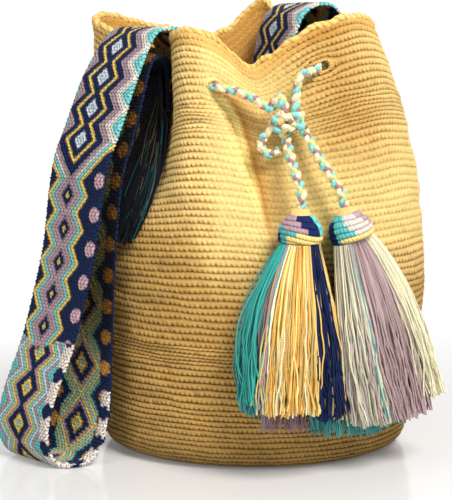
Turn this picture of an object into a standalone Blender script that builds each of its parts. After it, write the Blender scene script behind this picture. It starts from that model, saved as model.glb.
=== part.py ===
"""Crochet drawstring bucket bag with a wide woven strap and two tassels.

Metres, +Z up. The origin is the middle of the base, on the floor. The front faces -Y.
Angles around the bag are counted from the front, positive towards +X.
"""
import math

import bmesh
import bpy
import numpy as np

# Body: an oval bucket of crochet, widest at the belly, leaning left at the mouth
BAG_HEIGHT = 0.3180
BASE_HALF_WIDTH = 0.1190
BASE_HALF_DEPTH = 0.0970
BASE_CORNER = 0.0180
BELLY_HALF_WIDTH = 0.1260
BELLY_HALF_DEPTH = 0.1050
BELLY_LEVEL = 0.38
BELLY_SHIFT = 0.0050
MOUTH_HALF_WIDTH = 0.1040
MOUTH_HALF_DEPTH = 0.0800
MOUTH_SHIFT_X = -0.0160
MOUTH_SHIFT_Y = -0.0060
WALL = 0.0045
ROW_DEPTH = 0.0009
RIDGE_PITCH = 0.0110
RIM_BEAD = 0.0008

# Folds of the mouth: angle, half width in degrees, depth inwards, rise of the rim,
# and the level at which the fold has died out
FOLDS = (
    ("strap_recess_left", -62.0, 26.0, 0.0350, -0.0170, 0.42),
    ("front_left_lobe", -26.0, 17.0, -0.0040, 0.0020, 0.45),
    ("front_valley", 9.0, 19.0, 0.0100, -0.0150, 0.55),
    ("right_lobe", 62.0, 21.0, -0.0030, 0.0090, 0.40),
    ("strap_recess_right", 128.0, 24.0, 0.0150, -0.0120, 0.50),
    ("back_lobe", 163.0, 14.5, -0.0040, 0.0250, 0.50),
    ("back_dip", 197.0, 15.0, 0.0060, -0.0040, 0.60),
    ("left_back_lobe", 252.0, 24.0, -0.0080, 0.0120, 0.40),
)

FOLD_GROWTH = 0.8
FOLD_POWER = 3.0

# Where the rim alone dips and leans in, at the front
DIP_ANGLE = 13.0
DIP_HALF_ANGLE = 19.0
DIP_DROP = 0.0120
DIP_LEAN = 0.0080
DIP_LEVEL = 0.84

# The pleat below the left eyelet: the left lobe laps over a shadowed hollow
PLEAT_TOP_LEVEL = 0.88
PLEAT_TOP_ANGLE = -17.0
PLEAT_LOW_LEVEL = 0.46
PLEAT_LOW_ANGLE = 5.0
PLEAT_DEPTH = 0.0155
PLEAT_LENGTH = 0.0300
PLEAT_EDGE = 0.0045

# What touches keeps this gap
GAP = 0.0003

# Drawstring: a round braid through two front eyelets, tied in one knot
CORD = 0.0075
EYELET_ROOM = 0.0022
LEFT_EYELET_ANGLE = -13.7
LEFT_EYELET_LEVEL = 0.880
RIGHT_EYELET_ANGLE = 37.3
RIGHT_EYELET_LEVEL = 0.915
RIGHT_EYELET_LENGTH = 0.0070
CORD_LEVEL = 0.87
CORD_SLACK = 0.0030
CORD_STEP = 0.0120
LEFT_ARM = 0.0900
RIGHT_ARM = 0.0700
KNOT_X = 0.0210
KNOT_Z = 0.2590
KNOT_HALF = (0.0120, 0.0090, 0.0150)

# Strap: one woven band, both ends sewn to the outside of the rim
STRAP_WIDTH = 0.0570
STRAP_THICKNESS = 0.0035
STRAP_LEFT_ANGLE = -64.0
STRAP_RIGHT_ANGLE = 131.0
SEWN_TOP_LEVEL = 0.95
SEWN_LENGTH = 0.0340
FRINGE_LENGTH = 0.1000
FRINGE_HALF_WIDTH = 0.0150
FRINGE_HALF_DEPTH = 0.0045
SEWN_SLACK = 0.0013
STRAP_LIFT = 0.0105

# The strap off the wall. Beside the bag: angle, height as a share of the rim's height under
# the strap, distance outside the oval as a share of the strap's width, turn of the width
STRAP_DOWN = (
    (-60, 0.987, -0.298, 52),
    (-59, 0.974, -0.088, 48),
    (-59, 0.901, 0.053, 45),
    (-61, 0.809, 0.149, 44),
    (-64, 0.698, 0.263, 43),
    (-65, 0.507, 0.351, 42),
    (-66, 0.273, 0.421, 39),
    (-66, 0.125, 0.491, 37),
    (-66, 0.027, 0.667, 38),
    (-66.5, 0.007, 0.877, 43),
    (-67.5, 0.014, 1.140, 43),
)
STRAP_UP = (
    (-67.7, 0.074, 1.262, 43),
    (-67.2, 0.171, 1.158, 43),
    (-65.9, 0.290, 0.930, 43),
    (-64.8, 0.408, 0.772, 43),
    (-63.4, 0.530, 0.649, 43),
    (-62.6, 0.648, 0.579, 42),
    (-61.4, 0.744, 0.509, 41),
    (-60.6, 0.819, 0.368, 41),
    (-58.5, 0.941, 0.158, 43),
)
# Over the left rim: distance outside the oval as before, and lift as a share of the thickness
STRAP_CREST = (
    (-0.140, -0.29, 50),
    (-0.386, 0.57, 54),
    (-0.649, -0.29, 56),
)
CREST_ANGLE = -58.0
# Inside the bag and up over the right rim: shares of the mouth's half width and half depth
# and of the rim's height, and the turn of the width
STRAP_SLING = (
    (-0.471, -0.300, 0.938, 58),
    (-0.394, -0.125, 0.823, 57),
    (-0.240, 0.125, 0.731, 58),
    (-0.029, 0.325, 0.731, 60),
    (0.096, 0.331, 0.823, 61),
    (0.125, 0.356, 0.955, 62),
    (0.216, 0.431, 1.080, 61),
    (0.365, 0.550, 1.114, 58),
    (0.490, 0.650, 1.090, 54),
)

# Tassels: a wrapped head and a full skirt of yarn on each cord end
HEAD_RADIUS = 0.0150
HEAD_LENGTH = 0.0235
HEAD_WRAPS = 5
HEAD_TOP_Z = 0.1962
LEFT_SKIRT_LENGTH = 0.1310
RIGHT_SKIRT_LENGTH = 0.1420
SKIRT_HALF_DEPTH = 0.0180
LEFT_HEAD_X = 0.0298
RIGHT_HEAD_X = 0.0605
LEFT_SKIRT_X = 0.0270
RIGHT_SKIRT_X = 0.1028
LEFT_SKIRT_HALF_WIDTH = 0.0380
RIGHT_SKIRT_HALF_WIDTH = 0.0370
SKIRT_SLACK = 0.0012
SKIRT_FLUTES = 13
FLUTE_DEPTH = 0.09

# How finely round things are cut
AROUND = 60
SPREAD_AT_FRONT = 0.25
PLEAT_PULL = 1.0
STRAP_STEPS = 72
STRAP_COLUMNS = 5


def vec(x, y, z):
    return np.array([x, y, z], float)


def unit(v):
    return v / np.linalg.norm(v)


def smooth(t):
    """0 below 0, 1 above 1, and a smooth rise between."""
    t = min(1.0, max(0.0, t))
    return t * t * (3.0 - 2.0 * t)


def spaced(count, level):
    """Angles around the bag, closer together at the front, with one on the pleat's lip."""
    lip = math.radians(pleat_edge(level))
    for k in range(count):
        turn = (k / count + 0.5) % 1.0 - 0.5
        angle = 2.0 * math.pi * turn - SPREAD_AT_FRONT * math.sin(2.0 * math.pi * turn)
        yield angle + lip * math.exp(-(angle / PLEAT_PULL) ** 2)


def between(base, belly, mouth, level):
    """A size of the plan outline at a level: base, then belly, then mouth."""
    if level < BELLY_LEVEL:
        t = 1.0 - level / BELLY_LEVEL
        return belly + (base - belly) * t * t
    t = (level - BELLY_LEVEL) / (1.0 - BELLY_LEVEL)
    return belly + (mouth - belly) * t * t


def centre(level):
    x = between(0.0, BELLY_SHIFT, MOUTH_SHIFT_X, level)
    y = between(0.0, 0.0, MOUTH_SHIFT_Y, level)
    return x, y


def turn_between(angle, other):
    """The signed turn from one angle to another, in degrees."""
    return (math.degrees(angle) - other + 180.0) % 360.0 - 180.0


def oval_radius(angle, level):
    """Distance from the bag's axis to the outline without folds."""
    wide = between(BASE_HALF_WIDTH, BELLY_HALF_WIDTH, MOUTH_HALF_WIDTH, level)
    deep = between(BASE_HALF_DEPTH, BELLY_HALF_DEPTH, MOUTH_HALF_DEPTH, level)
    return 1.0 / math.hypot(math.sin(angle) / wide, math.cos(angle) / deep)


def pleat_edge(level):
    """The angle of the pleat's lip at a level, in degrees."""
    t = (PLEAT_TOP_LEVEL - level) / (PLEAT_TOP_LEVEL - PLEAT_LOW_LEVEL)
    return PLEAT_TOP_ANGLE + (PLEAT_LOW_ANGLE - PLEAT_TOP_ANGLE) * min(1.0, max(0.0, t))


def pleat(angle, level, radius):
    """How far the hollow beside the pleat goes in."""
    t = (PLEAT_TOP_LEVEL - level) / (PLEAT_TOP_LEVEL - PLEAT_LOW_LEVEL)
    if not 0.0 < t < 1.0:
        return 0.0
    edge = pleat_edge(level)
    past = math.radians(turn_between(angle, edge)) * radius
    shade = smooth(t / 0.25) * smooth((1.0 - t) / 0.6)
    step = smooth(past / PLEAT_EDGE)
    return PLEAT_DEPTH * shade * step * math.exp(-max(0.0, past) / PLEAT_LENGTH)


def dip(angle, level):
    """How much of the rim's own dip there is at a place, from 0 to 1."""
    near = math.exp(-abs(turn_between(angle, DIP_ANGLE) / DIP_HALF_ANGLE) ** 2)
    return near * smooth((level - DIP_LEVEL) / (1.0 - DIP_LEVEL))


def radius_at(angle, level):
    radius = oval_radius(angle, level)
    inwards = 0.0
    for _, at, half, depth, _, fade in FOLDS:
        near = math.exp(-abs(turn_between(angle, at) / half) ** FOLD_POWER)
        inwards += depth * near * smooth((level - fade) / (FOLD_GROWTH * (1.0 - fade)))
    inwards += DIP_LEAN * dip(angle, level)
    return radius - inwards - pleat(angle, level, radius)


def rise_at(angle, level):
    up = 0.0
    for _, at, half, _, rise, fade in FOLDS:
        near = math.exp(-abs(turn_between(angle, at) / half) ** 2)
        up += rise * near * smooth((level - fade * 0.6) / (1.0 - fade * 0.6))
    return up - DIP_DROP * dip(angle, level)


def plan_point(angle, level):
    cx, cy = centre(level)
    r = radius_at(angle, level)
    z = BASE_CORNER + level * (BAG_HEIGHT - BASE_CORNER) + rise_at(angle, level)
    return vec(cx + r * math.sin(angle), cy - r * math.cos(angle), z)


def outwards(angle, level):
    """The horizontal normal of the wall, pointing out of the bag."""
    step = 0.02
    along = plan_point(angle + step, level) - plan_point(angle - step, level)
    return unit(vec(along[1], -along[0], 0.0))


def wall_point(angle, level, off=0.0):
    """A point of the wall, off metres outside its grooves."""
    return plan_point(angle, level) + outwards(angle, level) * off


def rim_top(angle, lift):
    """A point above the middle of the rim's thickness."""
    return wall_point(angle, 1.0, RIM_BEAD - WALL / 2) + vec(0, 0, WALL / 2 + lift)


def beside(degrees, z, out):
    """A point out metres outside the bag's plain oval at a height."""
    level = (z - BASE_CORNER) / (BAG_HEIGHT - BASE_CORNER)
    level = min(1.0, max(0.0, level))
    angle = math.radians(degrees)
    cx, cy = centre(level)
    r = oval_radius(angle, level) + out
    return vec(cx + r * math.sin(angle), cy - r * math.cos(angle), z)


def fine_route(points):
    """Closely spaced points on a smooth curve through the given ones."""
    p = [np.asarray(q, float) for q in points]
    p = [2 * p[0] - p[1], *p, 2 * p[-1] - p[-2]]
    fine = []
    for a, b, c, d in zip(p, p[1:], p[2:], p[3:]):
        for t in np.arange(0.0, 1.0, 0.05):
            fine.append(0.5 * (2 * b + (c - a) * t + (2 * a - 5 * b + 4 * c - d) * t * t
                               + (3 * b - a - 3 * c + d) * t ** 3))
    fine.append(p[-2])
    return np.array(fine)


def lengths(line):
    """The distance along a line at each of its points."""
    return np.concatenate([[0], np.cumsum(np.linalg.norm(np.diff(line, axis=0), axis=1))])


def spread(points, count):
    """Evenly spaced points along a smooth curve through the given ones."""
    fine = fine_route(points)
    along = lengths(fine)
    at = np.linspace(0, along[-1], count)
    return np.stack([np.interp(at, along, fine[:, k]) for k in range(3)], axis=1)


def material(name, colour, roughness):
    mat = bpy.data.materials.new(name)
    mat.use_nodes = True
    shader = mat.node_tree.nodes["Principled BSDF"]
    shader.inputs["Base Color"].default_value = (*colour, 1.0)
    shader.inputs["Roughness"].default_value = roughness
    shader.inputs["Metallic"].default_value = 0.0
    return mat


def add_mesh(name, verts, faces, mat, sharp=math.radians(50)):
    mesh = bpy.data.meshes.new(name)
    mesh.from_pydata([tuple(v) for v in verts], [], faces)
    bm = bmesh.new()
    bm.from_mesh(mesh)
    bmesh.ops.recalc_face_normals(bm, faces=bm.faces)
    bm.to_mesh(mesh)
    bm.free()
    mesh.shade_smooth()
    mesh.set_sharp_from_angle(angle=sharp)
    mesh.materials.append(mat)
    obj = bpy.data.objects.new(name, mesh)
    bpy.context.scene.collection.objects.link(obj)
    return obj


def loft(rings, first=None, last=None):
    """Vertices and faces of a closed skin over equal rings and two end points."""
    count = len(rings[0])
    verts = [p for ring in rings for p in ring]
    faces = []
    for i in range(len(rings) - 1):
        for k in range(count):
            a, b = i * count + k, i * count + (k + 1) % count
            faces.append((a, b, b + count, a + count))
    ends = ((first, 0), (last, (len(rings) - 1) * count))
    for point, start in ends:
        if point is None:
            faces.append(tuple(range(start, start + count)))
            continue
        verts.append(point)
        tip = len(verts) - 1
        for k in range(count):
            faces.append((start + k, start + (k + 1) % count, tip))
    return verts, faces


def ring(level, off):
    return [wall_point(a, level, off) for a in spaced(AROUND, level)]


def corner_ring(turned, inner):
    """A ring of the rounded edge between base and wall, turned up from the base."""
    out = -WALL if inner else 0.0
    radius = BASE_CORNER + out
    points = []
    for a in spaced(AROUND, 0.0):
        p = wall_point(a, 0.0, out - radius * (1.0 - math.sin(turned)))
        p[2] = BASE_CORNER - radius * math.cos(turned)
        points.append(p)
    return points


def base_ring(share, z, inner):
    return [vec(p[0] * share, p[1] * share, z) for p in corner_ring(0.0, inner)]


def bag_body():
    """One crocheted piece: base, wall with its rows, folded mouth and edging."""
    rings = [base_ring(0.5, 0.0, False)]
    for turned in (0.0, 30.0, 60.0):
        rings.append(corner_ring(math.radians(turned), False))
    ridges = round((BAG_HEIGHT - BASE_CORNER) / RIDGE_PITCH)
    for i in range(ridges):
        rings.append(ring(i / ridges, 0.0))
        rings.append(ring((i + 0.5) / ridges, ROW_DEPTH))
    rings.append(ring(1.0, RIM_BEAD))
    rings.append([rim_top(a, 0.0) for a in spaced(AROUND, 1.0)])
    rings.append(ring(1.0, RIM_BEAD - WALL))
    inner_rows = ridges // 2
    for i in reversed(range(inner_rows)):
        rings.append(ring(i / inner_rows, -WALL))
    for turned in (45.0, 0.0):
        rings.append(corner_ring(math.radians(turned), True))
    rings.append(base_ring(0.5, WALL, True))
    verts, faces = loft(rings, vec(0, 0, 0), vec(0, 0, WALL))
    body = add_mesh("bag_body", verts, faces, material("crochet_cotton", (0.80, 0.52, 0.18), 0.9))
    for name, angle, level, length in eyelets():
        cut(body, eyelet_cutter(name, angle, level, length))
    return body


def eyelets():
    return (
        ("eyelet_left", LEFT_EYELET_ANGLE, LEFT_EYELET_LEVEL, 0.0),
        ("eyelet_right", RIGHT_EYELET_ANGLE, RIGHT_EYELET_LEVEL, RIGHT_EYELET_LENGTH),
    )


def eyelet_frame(degrees, level):
    """An eyelet's centre in the wall, its way out and its way along the row."""
    angle = math.radians(degrees)
    mid = wall_point(angle, level, -WALL / 2)
    step = 0.05
    along = wall_point(angle + step, level) - wall_point(angle - step, level)
    out = outwards(angle, level)
    along = unit(along - out * (along @ out))
    return mid, out, along


def eyelet_cutter(name, degrees, level, length):
    """A round or long hole through the wall, cut square to it."""
    mid, out, along = eyelet_frame(degrees, level)
    up = np.cross(out, along)
    half = (CORD + EYELET_ROOM) / 2
    reach = 3.0 * WALL
    outline = []
    for k in range(16):
        turn = 2 * math.pi * k / 16
        side = math.copysign(length / 2, math.cos(turn)) if length else 0.0
        outline.append(along * (side + half * math.cos(turn)) + up * half * math.sin(turn))
    rings = [[mid + out * d + p for p in outline] for d in (-reach, reach)]
    verts, faces = loft(rings)
    cutter = add_mesh(name + "_cutter", verts, faces, bpy.data.materials["crochet_cotton"])
    cutter.hide_render = True
    cutter.display_type = "WIRE"
    return cutter


def cut(obj, cutter):
    tool = obj.modifiers.new(cutter.name, "BOOLEAN")
    tool.operation = "DIFFERENCE"
    tool.solver = "EXACT"
    tool.object = cutter
    return tool


def on_wall(degrees, level, off, side):
    """A place of the strap flat on the wall; side is -1 on the left and 1 on the right."""
    r = radius_at(math.radians(degrees), level)

    def point(j):
        return wall_point(math.radians(degrees) + side * j * STRAP_WIDTH / 2 / r, level, off)
    return point


def free(middle, turned):
    """A place of the strap off the wall, its width turned from -X towards +Y."""
    turned = math.radians(turned)
    across = vec(-math.cos(turned), math.sin(turned), 0.0)

    def point(j):
        return middle + across * j * STRAP_WIDTH / 2
    return point


def strap_stations():
    """The strap from its left sewn end to its right one.

    Each station is a function of j, which runs from -1 at the edge near the front to 1.
    """
    face = GAP + SEWN_SLACK + ROW_DEPTH + STRAP_THICKNESS / 2
    left, right = STRAP_LEFT_ANGLE, STRAP_RIGHT_ANGLE
    sewn = SEWN_LENGTH / (BAG_HEIGHT - BASE_CORNER)
    top = rim_top(math.radians(left), 0.0)[2]
    lying = top + STRAP_LIFT + GAP + STRAP_THICKNESS / 2
    stations = [on_wall(left, SEWN_TOP_LEVEL - sewn * k / 2, face, -1) for k in (2, 1, 0)]
    for degrees, share, out, turned in STRAP_DOWN + STRAP_UP:
        stations.append(free(beside(degrees, top * share, STRAP_WIDTH * out), turned))
    for out, lift, turned in STRAP_CREST:
        high = lying + STRAP_THICKNESS * lift
        stations.append(free(beside(CREST_ANGLE, high, STRAP_WIDTH * out), turned))
    for x, y, share, turned in STRAP_SLING:
        middle = vec(x * MOUTH_HALF_WIDTH, y * MOUTH_HALF_DEPTH, top * share)
        stations.append(free(middle, turned))
    stations += [on_wall(right, SEWN_TOP_LEVEL - sewn * k / 2, face, 1) for k in (0, 1, 2)]
    return stations


def smooth_columns(stations, count):
    """Evenly spaced rows of points, one smooth curve for each column of the strap."""
    columns = []
    for j in np.linspace(-1.0, 1.0, STRAP_COLUMNS):
        columns.append(fine_route([station(j) for station in stations]))
    columns = np.array(columns)
    middle = columns[STRAP_COLUMNS // 2]
    along = lengths(middle)
    at = np.linspace(0, along[-1], count)
    rows = [[[np.interp(s, along, col[:, k]) for k in range(3)] for col in columns] for s in at]
    return np.array(rows)


def thickened(rows, thickness):
    """Rings around a sheet given as rows of points, thinner at its two edges."""
    along = np.gradient(rows, axis=0)
    across = np.gradient(rows, axis=1)
    normal = np.cross(along, across)
    normal /= np.linalg.norm(normal, axis=2)[..., None]
    half = np.full(rows.shape[1], thickness / 2)
    half[[0, -1]] *= 0.6
    upper = rows + normal * half[None, :, None]
    lower = rows - normal * half[None, :, None]
    return [[*u, *l[::-1]] for u, l in zip(upper, lower)]


def strap():
    rows = smooth_columns(strap_stations(), STRAP_STEPS)
    verts, faces = loft(thickened(rows, STRAP_THICKNESS))
    add_mesh("strap", verts, faces, material("woven_strap", (0.10, 0.13, 0.25), 0.85))


def fringe(name, degrees, side):
    """The loose ends of the strap's warp, hanging from the sewn end along the wall."""
    sewn = SEWN_LENGTH / (BAG_HEIGHT - BASE_CORNER)
    top = SEWN_TOP_LEVEL - sewn
    drop = FRINGE_LENGTH / (BAG_HEIGHT - BASE_CORNER)
    steps = 8
    rings = []
    for i in range(steps):
        t = i / (steps - 1)
        level = top - GAP / BAG_HEIGHT * 5 - drop * t
        wide = FRINGE_HALF_WIDTH * (0.75 + 0.5 * math.sin(math.pi * t ** 0.8) + 0.25 * t)
        deep = FRINGE_HALF_DEPTH * (0.6 + 0.4 * smooth(4 * t))
        at = degrees - side * (9.0 - 5.0 * t)
        r = radius_at(math.radians(at), level)
        ring_points = []
        for k in range(20):
            turn = 2 * math.pi * k / 20
            flute = 1.0 - 0.12 * (k % 2)
            angle = math.radians(at) + wide * math.cos(turn) / r
            off = ROW_DEPTH + GAP * 1.5 + deep * (1.0 + math.sin(turn) * flute)
            ring_points.append(wall_point(angle, level, off))
        rings.append(ring_points)
    verts, faces = loft(rings)
    add_mesh(name, verts, faces, material("yarn_" + name, (0.03, 0.05, 0.15), 0.9))


def front_y(x, z):
    """The front of the wall at a place, outside its rows."""
    level = min(0.9, max(0.0, (z - BASE_CORNER) / (BAG_HEIGHT - BASE_CORNER)))
    cx, cy = centre(level)
    wide = between(BASE_HALF_WIDTH, BELLY_HALF_WIDTH, MOUTH_HALF_WIDTH, level)
    x = min(x, cx + wide * 0.86)
    angle = math.atan2(x - cx, MOUTH_HALF_DEPTH)
    for _ in range(12):
        r = radius_at(angle, level)
        angle = math.asin(max(-0.95, min(0.95, (x - cx) / r)))
    return cy - radius_at(angle, level) * math.cos(angle) - ROW_DEPTH


def tube(name, points, mat):
    curve = bpy.data.curves.new(name, "CURVE")
    curve.dimensions = "3D"
    curve.bevel_depth = CORD / 2
    curve.bevel_resolution = 2
    curve.use_fill_caps = True
    curve.resolution_u = 1
    spline = curve.splines.new("POLY")
    spline.points.add(len(points) - 1)
    for knot, p in zip(spline.points, points):
        knot.co = (*p, 1.0)
        knot.radius = 1.0
    curve.materials.append(mat)
    obj = bpy.data.objects.new(name, curve)
    bpy.context.scene.collection.objects.link(obj)
    return obj


def knot_centre():
    return vec(KNOT_X, front_y(KNOT_X, KNOT_Z) - GAP - KNOT_HALF[1], KNOT_Z)


def drawstring_route():
    """From the knot's left side in at the left eyelet, round the inside, out to the knot."""
    inside = -WALL - GAP - CORD / 2 - CORD_SLACK
    knot = knot_centre()
    left, left_out, left_along = eyelet_frame(LEFT_EYELET_ANGLE, LEFT_EYELET_LEVEL)
    right, right_out, right_along = eyelet_frame(RIGHT_EYELET_ANGLE, RIGHT_EYELET_LEVEL)
    lead = WALL / 2 + CORD / 2
    right = right - right_along * RIGHT_EYELET_LENGTH * 0.3
    points = [
        knot + vec(-KNOT_HALF[0] - GAP, -0.001, 0.004),
        knot + vec(-KNOT_HALF[0] - 0.008, -0.001, 0.009),
        left + left_out * (lead + 0.0060) + left_along * 0.0200,
        left + left_out * (lead + 0.0038) + left_along * 0.0070,
        left + left_out * lead * 0.75 + left_along * 0.0005,
        left,
        left - left_out * lead * 0.75 - left_along * 0.0005,
        left - left_out * (lead + 0.0038) - left_along * 0.0070,
    ]
    stops = [-32, -48, -62, -76, -92, -108, -126, -145, -164, -182, -200, -218]
    stops += [-236, -254, -270, -286, -299]
    for degrees in stops:
        points.append(wall_point(math.radians(degrees), CORD_LEVEL, inside))
    points += [
        right - right_out * lead + right_along * 0.004,
        right + right_out * 0.001,
        right + right_out * (lead + 0.002) - right_along * 0.006,
        knot + vec(0.009, -0.002, KNOT_HALF[2] + 0.012),
        knot + vec(0.006, -0.001, KNOT_HALF[2] - 0.0008),
    ]
    return points


def drawstring(mat):
    route = fine_route(drawstring_route())
    along = lengths(route)
    total = along[-1]
    parts = (
        ("drawstring_left_arm", 0.0, LEFT_ARM),
        ("drawstring_inside", LEFT_ARM + 2 * GAP, total - RIGHT_ARM - 3 * GAP),
        ("drawstring_right_arm", total - RIGHT_ARM, total),
    )
    for name, start, end in parts:
        count = max(6, round((end - start) / CORD_STEP) + 1)
        if end - start < 0.1:
            count = 20
        at = np.linspace(start, end, count)
        tube(name, [[np.interp(s, along, route[:, k]) for k in range(3)] for s in at], mat)


def tail_routes():
    """Each tassel's cord from the knot down to the top of its head."""
    knot = knot_centre()
    places = (
        ("left", LEFT_HEAD_X, LEFT_SKIRT_X, vec(-0.0010, -0.0010, -KNOT_HALF[2] - 0.0012)),
        ("right", RIGHT_HEAD_X, RIGHT_SKIRT_X, vec(0.0110, -0.0010, -KNOT_HALF[2] * 0.66)),
    )
    for side, x, low_x, leave in places:
        top, down = tassel_axis(x, low_x)
        end = top - down * (2 * GAP)
        start = knot + leave
        above = end - down * 0.010
        middle = start * 0.55 + above * 0.45 + vec(-0.0005, -0.0020, 0.0)
        yield side, [start, middle, above, end]


def knot(mat):
    """The drawstring's knot, a lump whose wraps run round it aslant."""
    middle = knot_centre()
    rings = []
    for i in range(1, 12):
        up = math.pi * i / 12
        points = []
        for k in range(20):
            turn = 2 * math.pi * k / 20
            wrap = 1.0 - 0.10 * (0.5 + 0.5 * math.cos(4 * up + 2 * turn))
            size = math.sin(up) * wrap
            points.append(middle + vec(KNOT_HALF[0] * size * math.cos(turn),
                                       KNOT_HALF[1] * size * math.sin(turn),
                                       KNOT_HALF[2] * math.cos(up)))
        rings.append(points)
    top = middle + vec(0, 0, KNOT_HALF[2])
    bottom = middle - vec(0, 0, KNOT_HALF[2])
    verts, faces = loft(rings, top, bottom)
    add_mesh("drawstring_knot", verts, faces, mat)


def bight_route():
    """The small loop of cord left hanging at the knot's lower left."""
    start = knot_centre() + vec(-0.0096, -0.001, -0.0100)
    return [
        start,
        start + vec(-0.0060, -0.0015, -0.0040),
        start + vec(-0.0090, -0.0020, -0.0110),
        start + vec(-0.0040, -0.0020, -0.0170),
        start + vec(0.0040, -0.0010, -0.0150),
    ]


def head_top(x):
    z = HEAD_TOP_Z
    y = front_y(x, z - HEAD_LENGTH) - GAP - HEAD_RADIUS * 1.04
    return vec(x, y, z)


def tassel_axis(x, low_x):
    """The middle line of a tassel: the top of its head and the way down."""
    top = head_top(x)
    down = unit(vec(low_x - x, 0, -(HEAD_LENGTH + LEFT_SKIRT_LENGTH)))
    return top, down


def tassel_head(name, x, low_x, mat):
    """A turned head: a high dome, wraps of yarn round it and a plain foot."""
    top, down = tassel_axis(x, low_x)
    side = unit(vec(-down[2], 0, down[0]))
    front = vec(0, -1, 0)
    profile = [(0.30, 0.03)]
    for i in range(HEAD_WRAPS):
        for bulge, t in ((0.95, i + 0.4), (1.04, i + 0.9)):
            t = t / (HEAD_WRAPS + 0.1)
            profile.append((bulge * math.sin(math.pi / 2 * min(1.0, 0.25 + 1.5 * t)), t))
    profile.append((0.90, 1.0))
    rings = []
    for share, t in profile:
        middle = top + down * (HEAD_LENGTH * t)
        rings.append([middle + (side * math.cos(turn) + front * math.sin(turn)) * HEAD_RADIUS * share
                      for turn in np.linspace(0, 2 * math.pi, 20, endpoint=False)])
    verts, faces = loft(rings, top + down * 0.0001)
    add_mesh(name, verts, faces, mat)


def tassel_skirt(name, x, low_x, half_width, length, mat):
    """A full skirt of yarn, fluted, lying on the wall behind it."""
    top, down = tassel_axis(x, low_x)
    side = unit(vec(-down[2], 0, down[0]))
    start = HEAD_LENGTH + 2 * GAP
    inner = 1.0 if x < (LEFT_HEAD_X + RIGHT_HEAD_X) / 2 else -1.0
    neck = HEAD_RADIUS * 0.9
    steps = 9
    rings = []
    for i in range(steps):
        t = i / (steps - 1)
        middle = top + down * (start + length * t)
        deep = neck + (SKIRT_HALF_DEPTH - neck) * smooth(2 * t)
        ahead = max(0.0, front_y(x, middle[2]) - deep - top[1]) * (1.0 - smooth(2.5 * t))
        level = 1.0 - smooth(2.0 * t)
        points = []
        for k in range(2 * SKIRT_FLUTES):
            turn = math.pi * k / SKIRT_FLUTES
            flute = 1.0 - FLUTE_DEPTH * (k % 2) * smooth(3 * t)
            facing = inner * math.cos(turn) > 0.0
            wide = neck + (half_width - neck) * (1.0 - (1.0 - t) ** (1.4 if facing else 3.2))
            px = middle[0] + wide * flute * math.cos(turn)
            pz = middle[2] + wide * flute * math.cos(turn) * side[2] * level
            back = min(front_y(px, pz), front_y(middle[0], pz) + SKIRT_HALF_DEPTH)
            py = back - GAP - SKIRT_SLACK - deep * (1.0 + flute * math.sin(turn)) - ahead
            points.append(vec(px, py, pz))
        rings.append(points)
    verts, faces = loft(rings)
    add_mesh(name, verts, faces, mat)


def tassels(cord):
    yarn = material("tassel_yarn", (0.85, 0.60, 0.22), 0.85)
    pale = material("tassel_yarn_pale", (0.62, 0.50, 0.47), 0.85)
    wraps = material("tassel_wraps", (0.35, 0.32, 0.42), 0.85)
    sides = (
        ("left", LEFT_HEAD_X, LEFT_SKIRT_X, LEFT_SKIRT_HALF_WIDTH, LEFT_SKIRT_LENGTH, yarn),
        ("right", RIGHT_HEAD_X, RIGHT_SKIRT_X, RIGHT_SKIRT_HALF_WIDTH, RIGHT_SKIRT_LENGTH, pale),
    )
    for side, x, low_x, half_width, length, skirt in sides:
        tassel_head("tassel_head_" + side, x, low_x, wraps)
        tassel_skirt("tassel_skirt_" + side, x, low_x, half_width, length, skirt)
    for side, points in tail_routes():
        tube("drawstring_tail_" + side, spread(points, 14), cord)


def clear_scene():
    for obj in list(bpy.data.objects):
        bpy.data.objects.remove(obj, do_unlink=True)


def main():
    clear_scene()
    bag_body()
    strap()
    fringe("strap_fringe_left", STRAP_LEFT_ANGLE, -1)
    fringe("strap_fringe_right", STRAP_RIGHT_ANGLE, 1)
    cord = material("braided_cord", (0.55, 0.60, 0.55), 0.85)
    drawstring(cord)
    knot(cord)
    tube("drawstring_bight", spread(bight_route(), 10), cord)
    tassels(cord)


main()
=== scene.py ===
"""The looks of the crochet drawstring bucket bag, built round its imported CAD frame.

Metres, +Z up. The front faces -Y. Angles around the bag are counted from the front, positive
towards +X. The wall, the strap and the cords repeat the CAD source's own functions and points.
"""
import math

import bpy
import numpy as np
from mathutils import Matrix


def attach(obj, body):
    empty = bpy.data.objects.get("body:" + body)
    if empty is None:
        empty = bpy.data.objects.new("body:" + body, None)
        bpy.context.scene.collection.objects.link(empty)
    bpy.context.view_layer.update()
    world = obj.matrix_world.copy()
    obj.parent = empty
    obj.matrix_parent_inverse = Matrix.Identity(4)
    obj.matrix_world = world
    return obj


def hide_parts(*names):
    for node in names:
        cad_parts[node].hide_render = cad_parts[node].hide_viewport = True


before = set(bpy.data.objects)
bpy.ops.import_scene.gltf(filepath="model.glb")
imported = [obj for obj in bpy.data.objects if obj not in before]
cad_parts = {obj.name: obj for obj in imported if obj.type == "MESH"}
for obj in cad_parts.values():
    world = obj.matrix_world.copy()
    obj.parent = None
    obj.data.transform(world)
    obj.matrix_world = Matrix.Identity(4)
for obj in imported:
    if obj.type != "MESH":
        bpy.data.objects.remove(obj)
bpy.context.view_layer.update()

# The CAD's own sizes
BAG_HEIGHT = 0.318
BASE_HALF_WIDTH = 0.119
BASE_HALF_DEPTH = 0.097
BASE_CORNER = 0.018
BELLY_HALF_WIDTH = 0.126
BELLY_HALF_DEPTH = 0.105
BELLY_LEVEL = 0.38
BELLY_SHIFT = 0.005
MOUTH_HALF_WIDTH = 0.104
MOUTH_HALF_DEPTH = 0.08
MOUTH_SHIFT_X = -0.016
MOUTH_SHIFT_Y = -0.006
WALL = 0.0045
ROW_DEPTH = 0.0009
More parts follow.
